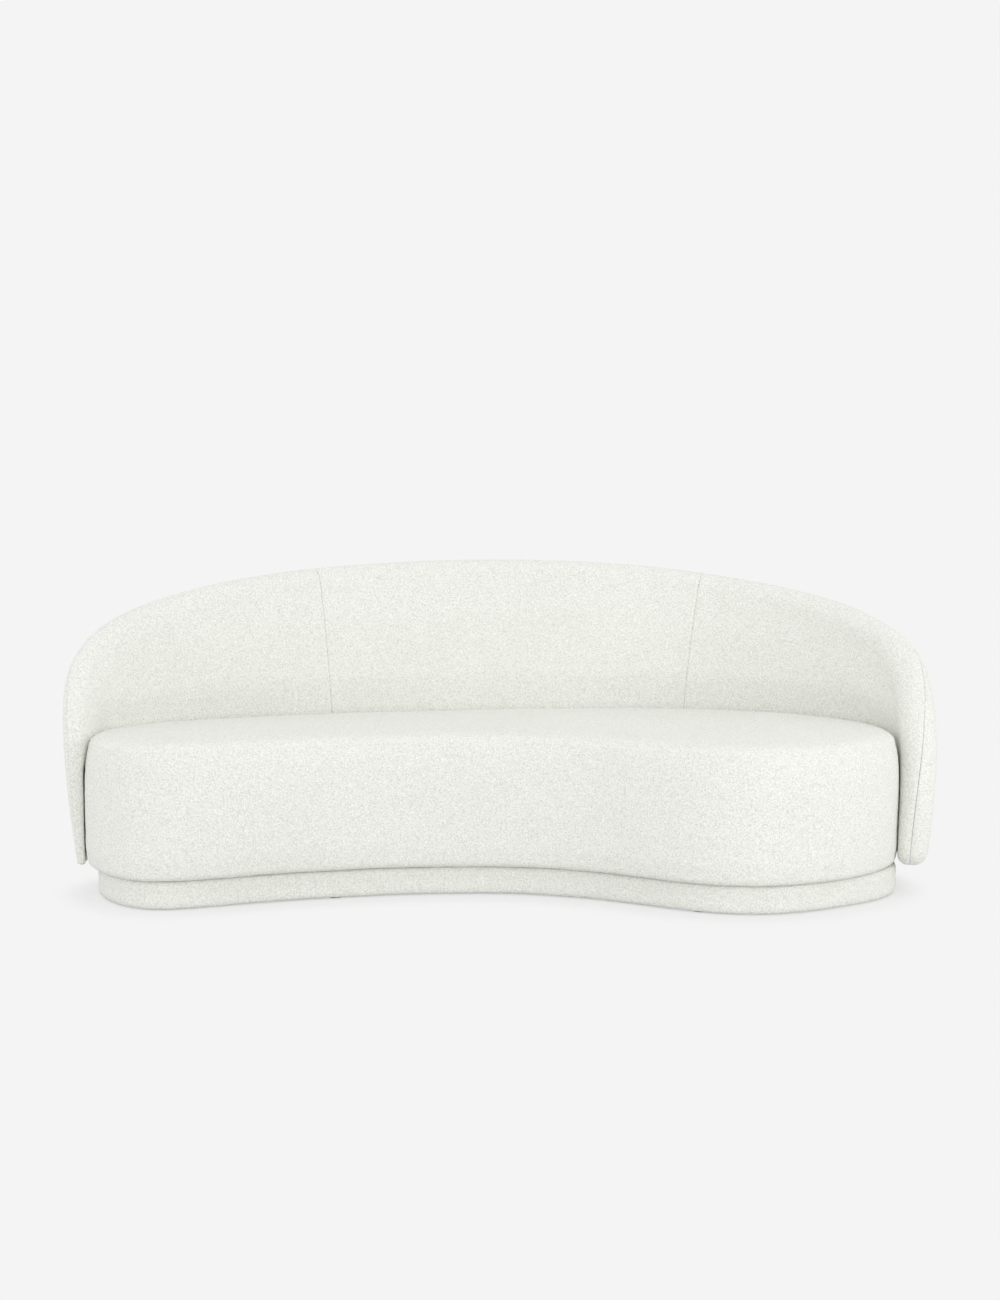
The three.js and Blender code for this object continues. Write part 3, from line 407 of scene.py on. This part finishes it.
def plinth_reach(nx, ny):
    """How far the plinth's edge is out from the outline, by the outline's normal."""
    back = ease((ny - PLINTH_BACK_FROM) / (1 - PLINTH_BACK_FROM))
    right = ease((nx - PLINTH_RIGHT_FROM) / (1 - PLINTH_RIGHT_FROM))
    return mixed(-PLINTH_FRONT_INSET, PLINTH_BACK_REACH, back) + PLINTH_RIGHT_REACH * right


def filled(loop, inside):
    """Triangles that fill a closed loop of plan points with more points inside it."""
    points = [Vector(p[:2]) for p in loop] + [Vector(p) for p in inside]
    edges = [(i, (i + 1) % len(loop)) for i in range(len(loop))]
    made = delaunay_2d_cdt(points, edges, [list(range(len(loop)))], 1, 1e-7)
    points = np.array([tuple(p) for p in made[0]])
    faces = np.array([tuple(f) for f in made[2]])
    a, b, c = (points[faces[:, k]] for k in range(3))
    upwards = (b - a)[:, 0] * (c - a)[:, 1] - (b - a)[:, 1] * (c - a)[:, 0] > 0
    return points, [tuple(f) if up else tuple(f[::-1]) for f, up in zip(faces.tolist(), upwards)]


def edge_distance(points):
    """Distances of plan points inwards from the outline, negative outside it."""
    edge = OUTLINE[::NEAREST_STRIDE]
    found = []
    for block in np.array_split(points, max(1, len(points) // NEAREST_BLOCK)):
        away = block[:, None, :] - edge[None, :, :2]
        gap = np.einsum("ijk,ijk->ij", away, away)
        nearest = np.argmin(gap, axis=1)
        rows = np.arange(len(block))
        side = -np.einsum("ij,ij->i", away[rows, nearest], edge[nearest, 2:])
        found.append(np.where(side > 0, 1, -1) * np.sqrt(gap[rows, nearest]))
    return np.concatenate(found)


def inner_points(margin, step):
    """A staggered field of plan points that lie further than a margin inside the outline."""
    low = OUTLINE[:, :2].min(axis=0)
    high = OUTLINE[:, :2].max(axis=0)
    rows = np.arange(low[1], high[1], step * FIELD_ROW_SHARE)
    field = np.array([
        (x + (step / 2 if k % 2 else 0), y)
        for k, y in enumerate(rows)
        for x in np.arange(low[0], high[0], step)
    ])
    return field[edge_distance(field) > margin]


# Materials


def new_material(name):
    made = bpy.data.materials.new(name)
    made.use_nodes = True
    nodes = made.node_tree.nodes
    links = made.node_tree.links
    return made, nodes, links, nodes["Principled BSDF"]


def textured(nodes, links, kind, scale, vector, **sockets):
    made = nodes.new(kind)
    made.inputs["Scale"].default_value = scale
    for name, value in sockets.items():
        made.inputs[name].default_value = value
    links.new(vector, made.inputs["Vector"])
    return made


def ramp(nodes, links, factor, dark, light):
    """A blend between two colours, each given with the factor at which it is reached."""
    made = nodes.new("ShaderNodeValToRGB")
    for element, (place, colour) in zip(made.color_ramp.elements, (dark, light)):
        element.position = place
        element.color = (*colour, 1)
    links.new(factor, made.inputs["Fac"])
    return made.outputs["Color"]


def maths(nodes, links, operation, *values):
    made = nodes.new("ShaderNodeMath")
    made.operation = operation
    for socket, value in zip(made.inputs, values):
        if isinstance(value, (int, float)):
            socket.default_value = value
        else:
            links.new(value, socket)
    return made.outputs[0]


def stretched(nodes, links, scale):
    place = nodes.new("ShaderNodeTexCoord")
    mapping = nodes.new("ShaderNodeMapping")
    mapping.inputs["Scale"].default_value = scale
    links.new(place.outputs["Object"], mapping.inputs["Vector"])
    return mapping.outputs["Vector"]


def bump(nodes, links, shader, height, strength, distance):
    made = nodes.new("ShaderNodeBump")
    made.inputs["Strength"].default_value = strength
    made.inputs["Distance"].default_value = distance
    links.new(height, made.inputs["Height"])
    links.new(made.outputs["Normal"], shader.inputs["Normal"])


# Looped cloth: the scales of its curls, nubs, loops and tones are in turns to a metre
# The cloth's two ramp colours: the lighter is painted highlight on the nubs' tops, the darker is
# painted shade in the hollows between them
CREAM_PAINTED_LIGHT = (0.91, 0.915, 0.87)
CREAM_PAINTED_SHADE = (0.66, 0.66, 0.605)
CREAM_PAINTED_LIGHT_AT = 0.93
CREAM_PAINTED_SHADE_AT = 0.53
CURL_SCALE = 95
CURL_SHIFT = 0.01
NUB_SCALE = 240
NUB_HEIGHT = 0.35
LOOP_SCALE = 340
LOOP_ROUGHNESS = 0.6
TONE_SCALE = 2.2
TONE_SHARE = 0.1
LOOP_BUMP = 0.55
LOOP_RELIEF = 0.003
CLOTH_LOOK = {
    "Roughness": 0.95, "Sheen Weight": 0.12, "Sheen Roughness": 0.6, "Specular IOR Level": 0.12,
}

# Plain materials: the grain's darker colour, where it lies on the ramp, and how strong its bump is
GRAIN_DARK = 0.78
GRAIN_RAMP = (0.3, 0.7)
GRAIN_DETAIL = 4.0
GRAIN_BUMP = 0.4


def boucle(name, light, shade):
    """Looped cloth: curly nubs a few millimetres across, lighter on their tops as painted highlight
    and darker between them as painted shade, of slowly varying tone.
    """
    made, nodes, links, shader = new_material(name)
    place = stretched(nodes, links, (1, 1, 1))
    curl = textured(nodes, links, "ShaderNodeTexNoise", CURL_SCALE, place, Detail=0.0)
    shift = nodes.new("ShaderNodeVectorMath")
    shift.operation = "MULTIPLY_ADD"
    shift.inputs[1].default_value = (CURL_SHIFT, CURL_SHIFT, CURL_SHIFT)
    links.new(curl.outputs["Color"], shift.inputs[0])
    links.new(place, shift.inputs[2])
    nubs = textured(nodes, links, "ShaderNodeTexVoronoi", NUB_SCALE, shift.outputs[0])
    loops = textured(
        nodes, links, "ShaderNodeTexNoise", LOOP_SCALE, place, Detail=2.0, Roughness=LOOP_ROUGHNESS
    )
    domes = maths(
        nodes, links, "MULTIPLY_ADD", nubs.outputs["Distance"], -NUB_HEIGHT, NUB_HEIGHT
    )
    height = maths(nodes, links, "MULTIPLY_ADD", loops.outputs["Fac"], 1.0, domes)
    tone = textured(nodes, links, "ShaderNodeTexNoise", TONE_SCALE, place, Detail=2.0)
    # The colour follows the nubs' height, with painted highlight on their tops and painted shade in
    # the hollows, plus a real tone that varies slowly
    painted_shade_and_tone = maths(nodes, links, "MULTIPLY_ADD", tone.outputs["Fac"], TONE_SHARE, height)
    colour = ramp(nodes, links, painted_shade_and_tone, (CREAM_PAINTED_SHADE_AT, shade), (CREAM_PAINTED_LIGHT_AT, light))
    links.new(colour, shader.inputs["Base Color"])
    for socket, value in CLOTH_LOOK.items():
        shader.inputs[socket].default_value = value
    bump(nodes, links, shader, height, LOOP_BUMP, LOOP_RELIEF)
    return made


def grained(name, colour, roughness, grain, relief, stretch=(1, 1, 1), metallic=0.0):
    """A material with a fine grain in its colour and its relief."""
    made, nodes, links, shader = new_material(name)
    place = stretched(nodes, links, stretch)
    marks = textured(nodes, links, "ShaderNodeTexNoise", grain, place, Detail=GRAIN_DETAIL)
    dark = tuple(GRAIN_DARK * c for c in colour)
    shades = ramp(
        nodes, links, marks.outputs["Fac"], (GRAIN_RAMP[0], dark), (GRAIN_RAMP[1], colour)
    )
    links.new(shades, shader.inputs["Base Color"])
    shader.inputs["Roughness"].default_value = roughness
    shader.inputs["Metallic"].default_value = metallic
    bump(nodes, links, shader, marks.outputs["Fac"], GRAIN_BUMP, relief)
    return made


cloth = boucle("boucle_cream", CREAM_PAINTED_LIGHT, CREAM_PAINTED_SHADE)
foam = grained("foam_open_cell", (0.80, 0.70, 0.42), roughness=0.95, grain=320, relief=0.001)
felt = grained(
    "felt_grey", (0.30, 0.30, 0.28), roughness=0.97, grain=240, relief=0.0008, stretch=(1, 1, 0.4)
)
timber = grained(
    "timber_ply", (0.52, 0.33, 0.17), roughness=0.62, grain=26, relief=0.0004, stretch=(1, 14, 9)
)
steel = grained(
    "steel_plain", (0.42, 0.43, 0.45), roughness=0.38, grain=190, relief=0.0001,
    stretch=(1, 9, 1), metallic=1.0,
)
webbing = grained(
    "webbing_rubber", (0.055, 0.048, 0.042), roughness=0.85, grain=420, relief=0.0006,
    stretch=(1, 1, 3),
)
lining = grained(
    "lining_black", (0.032, 0.032, 0.034), roughness=0.92, grain=600, relief=0.0003
)
plastic = grained(
    "glide_black", (0.045, 0.042, 0.04), roughness=0.5, grain=110, relief=0.0001
)

# The material of the CAD nodes whose names start like this
MATERIAL_OF = {
    "plinth_padding": foam, "seat_foam_core": foam, "seat_side_foam": foam,
    "outer_back_padding": foam, "inner_back_foam": foam, "seat_topper": felt,
    "seat_insulator_pad": felt, "plinth_ring": timber, "plinth_top_board": timber,
    "plinth_cross_rail": timber, "seat_base_board": timber, "seat_perimeter_rail": timber,
    "seat_cross_rail": timber, "back_bottom_rail": timber, "back_arch_rail": timber,
    "back_rib": timber, "back_webbing": webbing, "back_bolt": steel, "joining": steel,
    "seat_spring": steel, "glide": plastic, "dust_cover": lining,
}
for node_name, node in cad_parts.items():
    for start, chosen in MATERIAL_OF.items():
        if node_name.startswith(start):
            for material_slot in node.material_slots:
                material_slot.material = chosen


# Plinth


def make_plinth():
    low = PLINTH_ROUNDING
    high = PLINTH_TOP_ROUNDING
    low_bend, high_bend = (rounding * (1 - math.sqrt(0.5)) for rounding in (low, high))
    corners = np.array([
        (-PLINTH_LIP, PLINTH_BOTTOM), (-low, PLINTH_BOTTOM),
        (-low_bend, PLINTH_BOTTOM + low_bend), (0, PLINTH_BOTTOM + low),
        (0, mixed(PLINTH_BOTTOM, PLINTH_HEIGHT, 0.5)), (0, PLINTH_HEIGHT - high),
        (-high_bend, PLINTH_HEIGHT - high_bend), (-high, PLINTH_HEIGHT),
        (-PLINTH_LIP, PLINTH_HEIGHT),
    ])
    section, normals, _ = profile_points(corners, PLINTH_STEP)
    points, facing, around = swept(section, normals, plinth_reach)
    points = finished(points, facing, np.full(len(points), FAR), seed=1)
    faces = ring_faces(len(section), around)
    piece("plinth_boucle", points, faces, cloth, ["plinth_cover"])


make_plinth()


# Seat


def make_seat_side():
    """The seat's side. Gives the upper end of its section, where the top is sewn on."""
    offsets = -SEAT_INSET - SEAT_TUCK * SEAT_SIDE[:, 0]
    heights = mixed(SEAT_UNDERSIDE, SEAT_SEAM_HEIGHT, SEAT_SIDE[:, 1])
    section, normals, at = profile_points(np.column_stack([offsets, heights]), MESH_STEP)
    points, facing, around = swept(section, normals, no_reach)
    from_seam = np.repeat(at[-1] - at, around)
    points = finished(points, facing, from_seam, seed=2, seam_depth=SEAT_SEAM_DEPTH)
    faces = ring_faces(len(section), around)
    piece("seat_side_boucle", points, faces, cloth, ["seat_side_cover"])
    return section[-1]


def crown_height(depth):
    return mixed(SEAT_SEAM_HEIGHT, SEAT_HEIGHT, smooth_curve(CROWN_DEPTHS, CROWN_SHARES, depth))


def make_seat_top(side_end):
    """The crowned top: a swept shoulder with a hem behind the side's upper edge, and its fill."""
    depths = np.concatenate([
        CROWN_DEPTHS[:1], CROWN_DEPTHS[:1] + SHOULDER_SEAM_STEP,
        np.arange(SHOULDER_START, SHOULDER_END, SHOULDER_STEP),
    ])
    shoulder = np.column_stack([-SEAT_INSET - depths, crown_height(depths)])
    normals = section_normals(shoulder)
    from_seam = np.concatenate([[0], lengths_along(shoulder)])
    hem = side_end - normals[0] * SEAT_SEAM_LAP / 4 - (0, SEAT_SEAM_LAP)
    shoulder = np.vstack([hem, shoulder])
    normals = np.vstack([normals[0], normals])
    swept_points, swept_normals, around = swept(shoulder, normals, no_reach)
    rim = swept_points[-around:]
    field = inner_points(SEAT_INSET + depths[-1] + FIELD_MARGIN, FIELD_STEP)
    flat_points, flat_faces = filled(rim, field)
    heights = crown_height(edge_distance(flat_points) - SEAT_INSET)
    inner = np.column_stack([flat_points, heights])
    # The fill's first points are the shoulder's last loop, so both share them
    inner[:around] = rim
    first = len(swept_points) - around
    flat_faces = [tuple(i + first for i in face) for face in flat_faces]
    more = len(inner) - around
    points = finished(
        np.vstack([swept_points[:-around], inner]),
        np.vstack([swept_normals, np.tile([0.0, 0.0, 1.0], (more, 1))]),
        np.concatenate([np.repeat(from_seam, around), np.full(more, FAR)]),
        seed=3, seam_depth=SEAT_SEAM_DEPTH,
    )
    faces = ring_faces(len(shoulder), around) + flat_faces
    piece("seat_top_boucle", points, faces, cloth, ["seat_top_cover"])


make_seat_top(make_seat_side())


# Back and arms

ROWS = np.linspace(0, 1, BACK_ROWS + 1)
COLUMN_PLACES = np.concatenate([[0], np.cumsum(np.diff(TOP_SHARES + FOOT_SHARES) * LENGTH / 2)])


def panel_columns(first, last):
    """A panel's columns, closer together at its joints, as numbers of coarse ones and as places."""
    start = COLUMN_PLACES[first]
    end = COLUMN_PLACES[last]
    left = JOINT_COLUMNS + SEAM_SLIT if first else np.array([0.0])
    right = JOINT_COLUMNS + SEAM_SLIT if last < COLUMNS else np.array([0.0])
    count = int((end - start) / MESH_STEP) + 2
    between = np.linspace(start + left[-1], end - right[-1], count)
    places = np.concatenate([start + left[:-1], between, (end - right[:-1])[::-1]])
    return np.interp(places, COLUMN_PLACES, np.arange(COLUMNS + 1)), places


def edge_move(foot, line, top_share):
    """How far an end's edge has to move along the outline to lie on a rising part of the arch."""
    top = top_share * LENGTH
    heights = mixed(foot[1], crest_at(top), ROWS)
    return np.interp(heights, line[:, 1], line[:, 0]) - mixed(foot[0], top, ROWS)


LEFT_MOVE = edge_move(ARCH_LINE[0], ARCH_LINE[: ARCH_TOP + 1], TOP_SHARES[0])
RIGHT_MOVE = edge_move(ARCH_LINE[-1], ARCH_LINE[: ARCH_TOP - 1 : -1], TOP_SHARES[-1])


def grid_places(columns):
    """Lengths and heights of a grid over the back, for places between its coarse columns."""
    coarse = np.arange(COLUMNS + 1)
    top = np.interp(columns, coarse, TOP_SHARES) * LENGTH
    foot = np.interp(columns, coarse, FOOT_SHARES) * LENGTH
    s = mixed(foot[:, None], top[:, None], ROWS[None, :])
    z = mixed(foot_height(foot)[:, None], crest_at(top)[:, None], ROWS[None, :])
    near_left = ease(1 - columns / EDGE_COLUMNS)[:, None]
    near_right = ease(1 - (COLUMNS - columns) / EDGE_COLUMNS)[:, None]
    return s + near_left * LEFT_MOVE + near_right * RIGHT_MOVE, z


def outwards(points, normals):
    """Directions out of the back's edge along a run of its points."""
    steps = unit_rows(np.diff(points, axis=0))
    along = np.vstack([steps[:1], steps[:-1] + steps[1:], steps[-1:]])
    return unit_rows(np.cross(along, normals))


def fan(first, last):
    """Directions turning from one to another, without the two themselves."""
    shares = np.linspace(0, 1, CORNER_STEPS + 2)[1:-1, None]
    return unit_rows(mixed(first, last, shares))


def seam_angle(s, z):
    """The angle round the rim at which the outer seam lies: further forward on the right arm."""
    arm = np.interp(z, ARM_SEAM_HEIGHTS, ARM_SEAM_ANGLES)
    share = ease((s / LENGTH - ARM_SEAM_START) / ARM_SEAM_RUN)
    return np.radians(mixed(OUTER_SEAM_ANGLE, arm, share))


def rim_angles(seam, other, count):
    """Angles round the rim from its seam to the far side, closer together at the seam."""
    close = seam[:, None] + np.sign(other - seam)[:, None] * SEAM_ANGLES
    rest = mixed(close[:, -1:], other, np.linspace(0, 1, count)[None, 1:])
    return np.hstack([close, rest])


def rim_distance(s, z):
    """How far places on the back lie from the core line of its rim."""
    found = np.full(s.shape, np.inf)
    for a, b in ARCH_LINE:
        found = np.minimum(found, np.hypot(s - a, z - b))
    return found


def inner_depth(s, z, half, inwards):
    """How far the inner back stands in from its middle surface, by distance from the core line."""
    behind = s - ARCH[0, 0] * LENGTH
    along = 1 - ease((behind - ARM_PLUMP_START) / ARM_PLUMP_FADE)
    arm = along * ease((z - ARM_PLUMP_FOOT) / ARM_PLUMP_RISE)
    run = ARM_PLUMP_RUN * arm
    short = np.maximum(0, run - inwards) / (run + half)
    roll = (half + ARM_PLUMP_DEPTH * arm) * np.sqrt(np.maximum(0, 1 - short**2))
    return roll + PLUMP_DEPTH * ease(inwards / PLUMP_RUN) * ease((z - SEAT_HEIGHT) / PLUMP_RISE)


def squared(s, z, angles):
    """How much further than a circle the rim's inner side reaches: more at the arms' feet."""
    power = np.where(s < 0, LEFT_SQUARENESS, RIGHT_SQUARENESS)
    top = np.where(s < 0, LEFT_SQUARE_TOP, RIGHT_SQUARE_TOP)
    share = 1 - np.maximum(ease((z - top) / SQUARE_FADE), end_share(s, EDGE_RUN, EDGE_RUN))
    power = mixed(2.0, power, share)[:, None]
    reach = (np.abs(np.cos(angles)) ** power + np.abs(np.sin(angles)) ** power) ** (-1 / power)
    return np.where(angles > 0, reach, 1.0)


class Skin:
    """Points and faces of one panel of the back, made of a face and strips of the rounded rim."""

    def __init__(self):
        self.points = []
        self.normals = []
        self.distances = []
        self.faces = []
        self.count = 0

    def add(self, points, normals, distances):
        """Takes in points with their distances from a seam, and gives their numbers."""
        start = self.count
        self.points.append(points.reshape(-1, 3))
        self.normals.append(normals.reshape(-1, 3))
        self.distances.append(np.broadcast_to(distances, points.shape[:-1]).reshape(-1))
        self.count += len(self.points[-1])
        return start + np.arange(len(self.points[-1])).reshape(points.shape[:-1])

    def join(self, index):
        """Quads over a grid of point numbers, or triangles where two are the same."""
        a, b, c, d = index[:-1, :-1], index[1:, :-1], index[1:, 1:], index[:-1, 1:]
        for corners in zip(a.ravel(), b.ravel(), c.ravel(), d.ravel()):
            face = list(dict.fromkeys(int(i) for i in corners))
            if len(face) > 2:
                self.faces.append(face)

    def make(self, name, seed, slot, fill, nodes):
        points = np.vstack(self.points)
        normals = np.vstack(self.normals)
        points = finished(points, normals, np.concatenate(self.distances), seed)
        piece(name, points, self.faces, cloth, nodes)


def edge_runs(last, has_left, has_right):
    """Grid nodes along a panel's upper edge, with the ends that are free, and along its foot."""
    upper = [(i, BACK_ROWS) for i in range(last + 1)]
    foot = [(i, 0) for i in range(last, -1, -1)]
    if has_left:
        upper = [(0, j) for j in range(BACK_ROWS)] + upper
    if has_right:
        upper = upper + [(last, j) for j in range(BACK_ROWS - 1, -1, -1)]
    return upper, foot


def free_edges(mid, normal, has_left, has_right):
    """The same two runs with directions out of the edge, which fan out at the lower corners."""
    upper, foot = edge_runs(len(mid) - 1, has_left, has_right)
    upper_out, foot_out = (
        outwards(mid[tuple(np.array(run).T)], normal[tuple(np.array(run).T)])
        for run in (upper, foot)
    )
    crest = int(np.argmax(mid[tuple(np.array(upper).T)][:, 2]))
    if upper_out[crest, 2] < 0:
        upper_out, foot_out = -upper_out, -foot_out
    if has_right:
        turn = fan(upper_out[-1], foot_out[0])
        foot = [upper[-1]] + [foot[0]] * CORNER_STEPS + foot
        foot_out = np.vstack([upper_out[-1:], turn, foot_out])
    if has_left:
        turn = fan(foot_out[-1], upper_out[0])
        foot = foot + [foot[-1]] * CORNER_STEPS + [upper[0]]
        foot_out = np.vstack([foot_out, turn, upper_out[:1]])
    return (upper, upper_out), (foot, foot_out)


def rim_strip(s, z, mid, normal, half, out, inside):
    """Points and normals of the rounded rim along an edge, and their distances from its seam."""
    seam = seam_angle(s, z)
    if inside:
        angles = rim_angles(seam, math.radians(90), INNER_RIM_STEPS)[:, ::-1]
    else:
        angles = rim_angles(seam, math.radians(-90), OUTER_RIM_STEPS)
    radius = half[:, None]
    reach = squared(s, z, angles)
    outer = radius * np.cos(angles) * reach
    roll = inner_depth(s[:, None], z[:, None], radius, -radius * np.cos(angles)) * reach
    inner = np.where(angles > 0, roll, radius * np.sin(angles))
    normal = normal[:, None, :]
    out = out[:, None, :]
    turned = np.cos(angles)[..., None] * out - np.sin(angles)[..., None] * normal
    points = mid[:, None, :] + outer[..., None] * out - inner[..., None] * normal
    return points, turned, np.abs(angles - seam[:, None]) * radius


def back_panel(first, last, inside):
    """The skin of one inner panel between two columns, or of the whole outside."""
    columns, places = panel_columns(first, last)
    s, z = grid_places(columns)
    mid, normal, half = shell(s, z)
    has_left = first == 0
    has_right = last == COLUMNS
    far = np.full(len(places), FAR)
    joint = np.minimum(
        far if has_left else places - places[0], far if has_right else places[-1] - places
    )
    facing = -normal if inside else normal
    depth = inner_depth(s, z, half, rim_distance(s, z)) if inside else half
    skin = Skin()
    face = skin.add(mid + facing * depth[..., None], facing, joint[:, None])
    skin.join(face if inside else face[::-1])
    for run, out in free_edges(mid, normal, has_left, has_right):
        at = tuple(np.array(run).T)
        points, turned, from_seam = rim_strip(
            s[at], z[at], mid[at], normal[at], half[at], out, inside
        )
        strip = skin.add(points, turned, np.minimum(from_seam, joint[at[0]][:, None]))
        # The cloth is tucked in along the seam
        end = -1 if inside else 0
        tuck = skin.add(points[:, end] - turned[:, end] * SEAM_TUCK, turned[:, end], 0.0)
        if inside:
            skin.join(np.column_stack([face[at], strip[:, 1:], tuck]))
        else:
            skin.join(np.column_stack([tuck, strip[:, :-1], face[at]]))
    return skin


for name, first, last, seed in (
    ("left", 0, LEFT_JOINT, 4),
    ("centre", LEFT_JOINT, RIGHT_JOINT, 5),
    ("right", RIGHT_JOINT, COLUMNS, 6),
):
    back_panel(first, last, True).make(
        f"inner_back_boucle_{name}", seed, "boucle_inner_back", 0.8, [f"inner_back_cover_{name}"]
    )
back_panel(0, COLUMNS, False).make(
    "outer_back_boucle", 7, "boucle_outer_back", 0.9, ["outer_back_cover"]
)


# Lining under the base


def make_lining():
    x, y, nx, ny = outline_at(np.arange(0, LENGTH, LINING_STEP))
    reach = plinth_reach(nx, ny) - LINING_INSET
    loop = np.column_stack([x + nx * reach, y + ny * reach])
    margin = PLINTH_FRONT_INSET + LINING_INSET
    flat_points, faces = filled(loop, inner_points(margin + LINING_STEP, LINING_STEP))
    sag = LINING_SAG * ease((edge_distance(flat_points) - margin) / LINING_SAG_RUN)
    points = np.column_stack([flat_points, LINING_LEVEL - sag])
    faces = [face[::-1] for face in faces]
    made = piece("base_lining", points, faces, lining, ["dust_cover"])


make_lining()


# Floor, world and lamps

BACKGROUND = (0.905, 0.905, 0.905)
NEAR_GLOW = 0.935
WORLD_COLOUR = (0.985, 0.99, 1.0)
WORLD_STRENGTH = 1.04
FLOOR_COLOUR = (0.78, 0.78, 0.78)
FLOOR_POINTS = 160
FLOOR_REACH = 40.0
# The shadow's strength, and the loops round the outline over which it fades
SHADOW_SHARE = 0.42
SHADOW_OFFSETS = (-0.03, 0.01, 0.025, 0.04, 0.06, 0.08, 0.11)
# Each lamp's name, place, the point it faces, size and power
LAMPS = (
    ("light_front", (0.0, -6.6, 2.1), (0, 0, 0.35), (3.5, 1.6), 47),
    ("light_right", (4.6, -3.2, 1.4), (0, 0, 0.35), (2.2, 2.0), 38),
    ("light_left", (-4.6, -2.6, 1.0), (-0.6, 0, 0.3), (1.6, 1.6), 11),
)


def backdrop_rays(nodes, links):
    """The rays that see the plain background: from the camera, from gloss and through glass."""
    path = nodes.new("ShaderNodeLightPath")
    others = maths(
        nodes, links, "MAXIMUM", path.outputs["Is Glossy Ray"], path.outputs["Is Transmission Ray"]
    )
    return maths(nodes, links, "MAXIMUM", path.outputs["Is Camera Ray"], others)


def floor_material():
    made, nodes, links, shader = new_material("floor_pale")
    shader.inputs["Base Color"].default_value = (*FLOOR_COLOUR, 1)
    shader.inputs["Roughness"].default_value = 0.95
    shader.inputs["Specular IOR Level"].default_value = 0.0
    near = nodes.new("ShaderNodeAttribute")
    near.attribute_name = "near"
    glow = nodes.new("ShaderNodeEmission")
    more = NEAR_GLOW - BACKGROUND[0]
    strength = maths(nodes, links, "MULTIPLY_ADD", near.outputs["Fac"], more, BACKGROUND[0])
    links.new(strength, glow.inputs["Strength"])
    plain = maths(nodes, links, "MULTIPLY_ADD", near.outputs["Fac"], -SHADOW_SHARE, 1.0)
    mix = nodes.new("ShaderNodeMixShader")
    links.new(maths(nodes, links, "MULTIPLY", plain, backdrop_rays(nodes, links)), mix.inputs[0])
    links.new(shader.outputs[0], mix.inputs[1])
    links.new(glow.outputs[0], mix.inputs[2])
    links.new(mix.outputs[0], nodes["Material Output"].inputs["Surface"])
    return made


def make_floor():
    """A pale floor with the sofa's shadow near it, which passes into the plain background."""
    x, y, nx, ny = outline_at(np.linspace(0, LENGTH, FLOOR_POINTS, endpoint=False))
    rings = [np.column_stack([x + nx * out, y + ny * out]) for out in SHADOW_OFFSETS]
    rings.append(unit_rows(rings[0]) * FLOOR_REACH)
    _, faces = filled(rings[0], [])
    faces = [face[::-1] for face in ring_faces(len(rings), FLOOR_POINTS)] + faces
    near = [1 - ease(out / SHADOW_OFFSETS[-1]) for out in SHADOW_OFFSETS] + [0.0]
    points = np.vstack(rings)
    mesh = bpy.data.meshes.new("floor")
    mesh.from_pydata(np.column_stack([points, np.zeros(len(points))]).tolist(), [], faces)
    layer = mesh.attributes.new("near", "FLOAT", "POINT")
    layer.data.foreach_set("value", np.repeat(near, FLOOR_POINTS).astype(np.float32))
    mesh.materials.append(floor_material())
    floor = bpy.data.objects.new("floor", mesh)
    bpy.context.scene.collection.objects.link(floor)


def make_world():
    world = bpy.data.worlds.new("studio")
    bpy.context.scene.world = world
    world.use_nodes = True
    nodes, links = world.node_tree.nodes, world.node_tree.links
    light = nodes["Background"]
    light.inputs["Color"].default_value = (*WORLD_COLOUR, 1)
    light.inputs["Strength"].default_value = WORLD_STRENGTH
    seen = nodes.new("ShaderNodeBackground")
    seen.inputs["Color"].default_value = (*BACKGROUND, 1)
    mix = nodes.new("ShaderNodeMixShader")
    links.new(backdrop_rays(nodes, links), mix.inputs[0])
    links.new(light.outputs[0], mix.inputs[1])
    links.new(seen.outputs[0], mix.inputs[2])
    links.new(mix.outputs[0], nodes["World Output"].inputs["Surface"])


def area_light(name, place, target, size, power):
    data = bpy.data.lights.new(name, "AREA")
    data.shape = "RECTANGLE"
    data.size, data.size_y = size
    data.energy = power
    lamp = bpy.data.objects.new(name, data)
    lamp.location = place
    lamp.rotation_euler = (Vector(target) - Vector(place)).to_track_quat("-Z", "Y").to_euler()
    bpy.context.scene.collection.objects.link(lamp)


make_floor()
make_world()
for lamp_row in LAMPS:
    area_light(*lamp_row)

# Camera

CAMERA_PLACE = (-0.00795, -5.35845, 1.180)
CAMERA_TILT = math.radians(84.012)
CAMERA_LENS = 54.91
CAMERA_SENSOR = 36

lens_data = bpy.data.cameras.new("camera")
lens_data.lens = CAMERA_LENS
lens_data.sensor_width = CAMERA_SENSOR
camera = bpy.data.objects.new("camera", lens_data)
camera.location = CAMERA_PLACE
camera.rotation_euler = (CAMERA_TILT, 0, 0)
bpy.context.scene.collection.objects.link(camera)
bpy.context.scene.camera = camera
bpy.context.scene.view_settings.view_transform = "Standard"
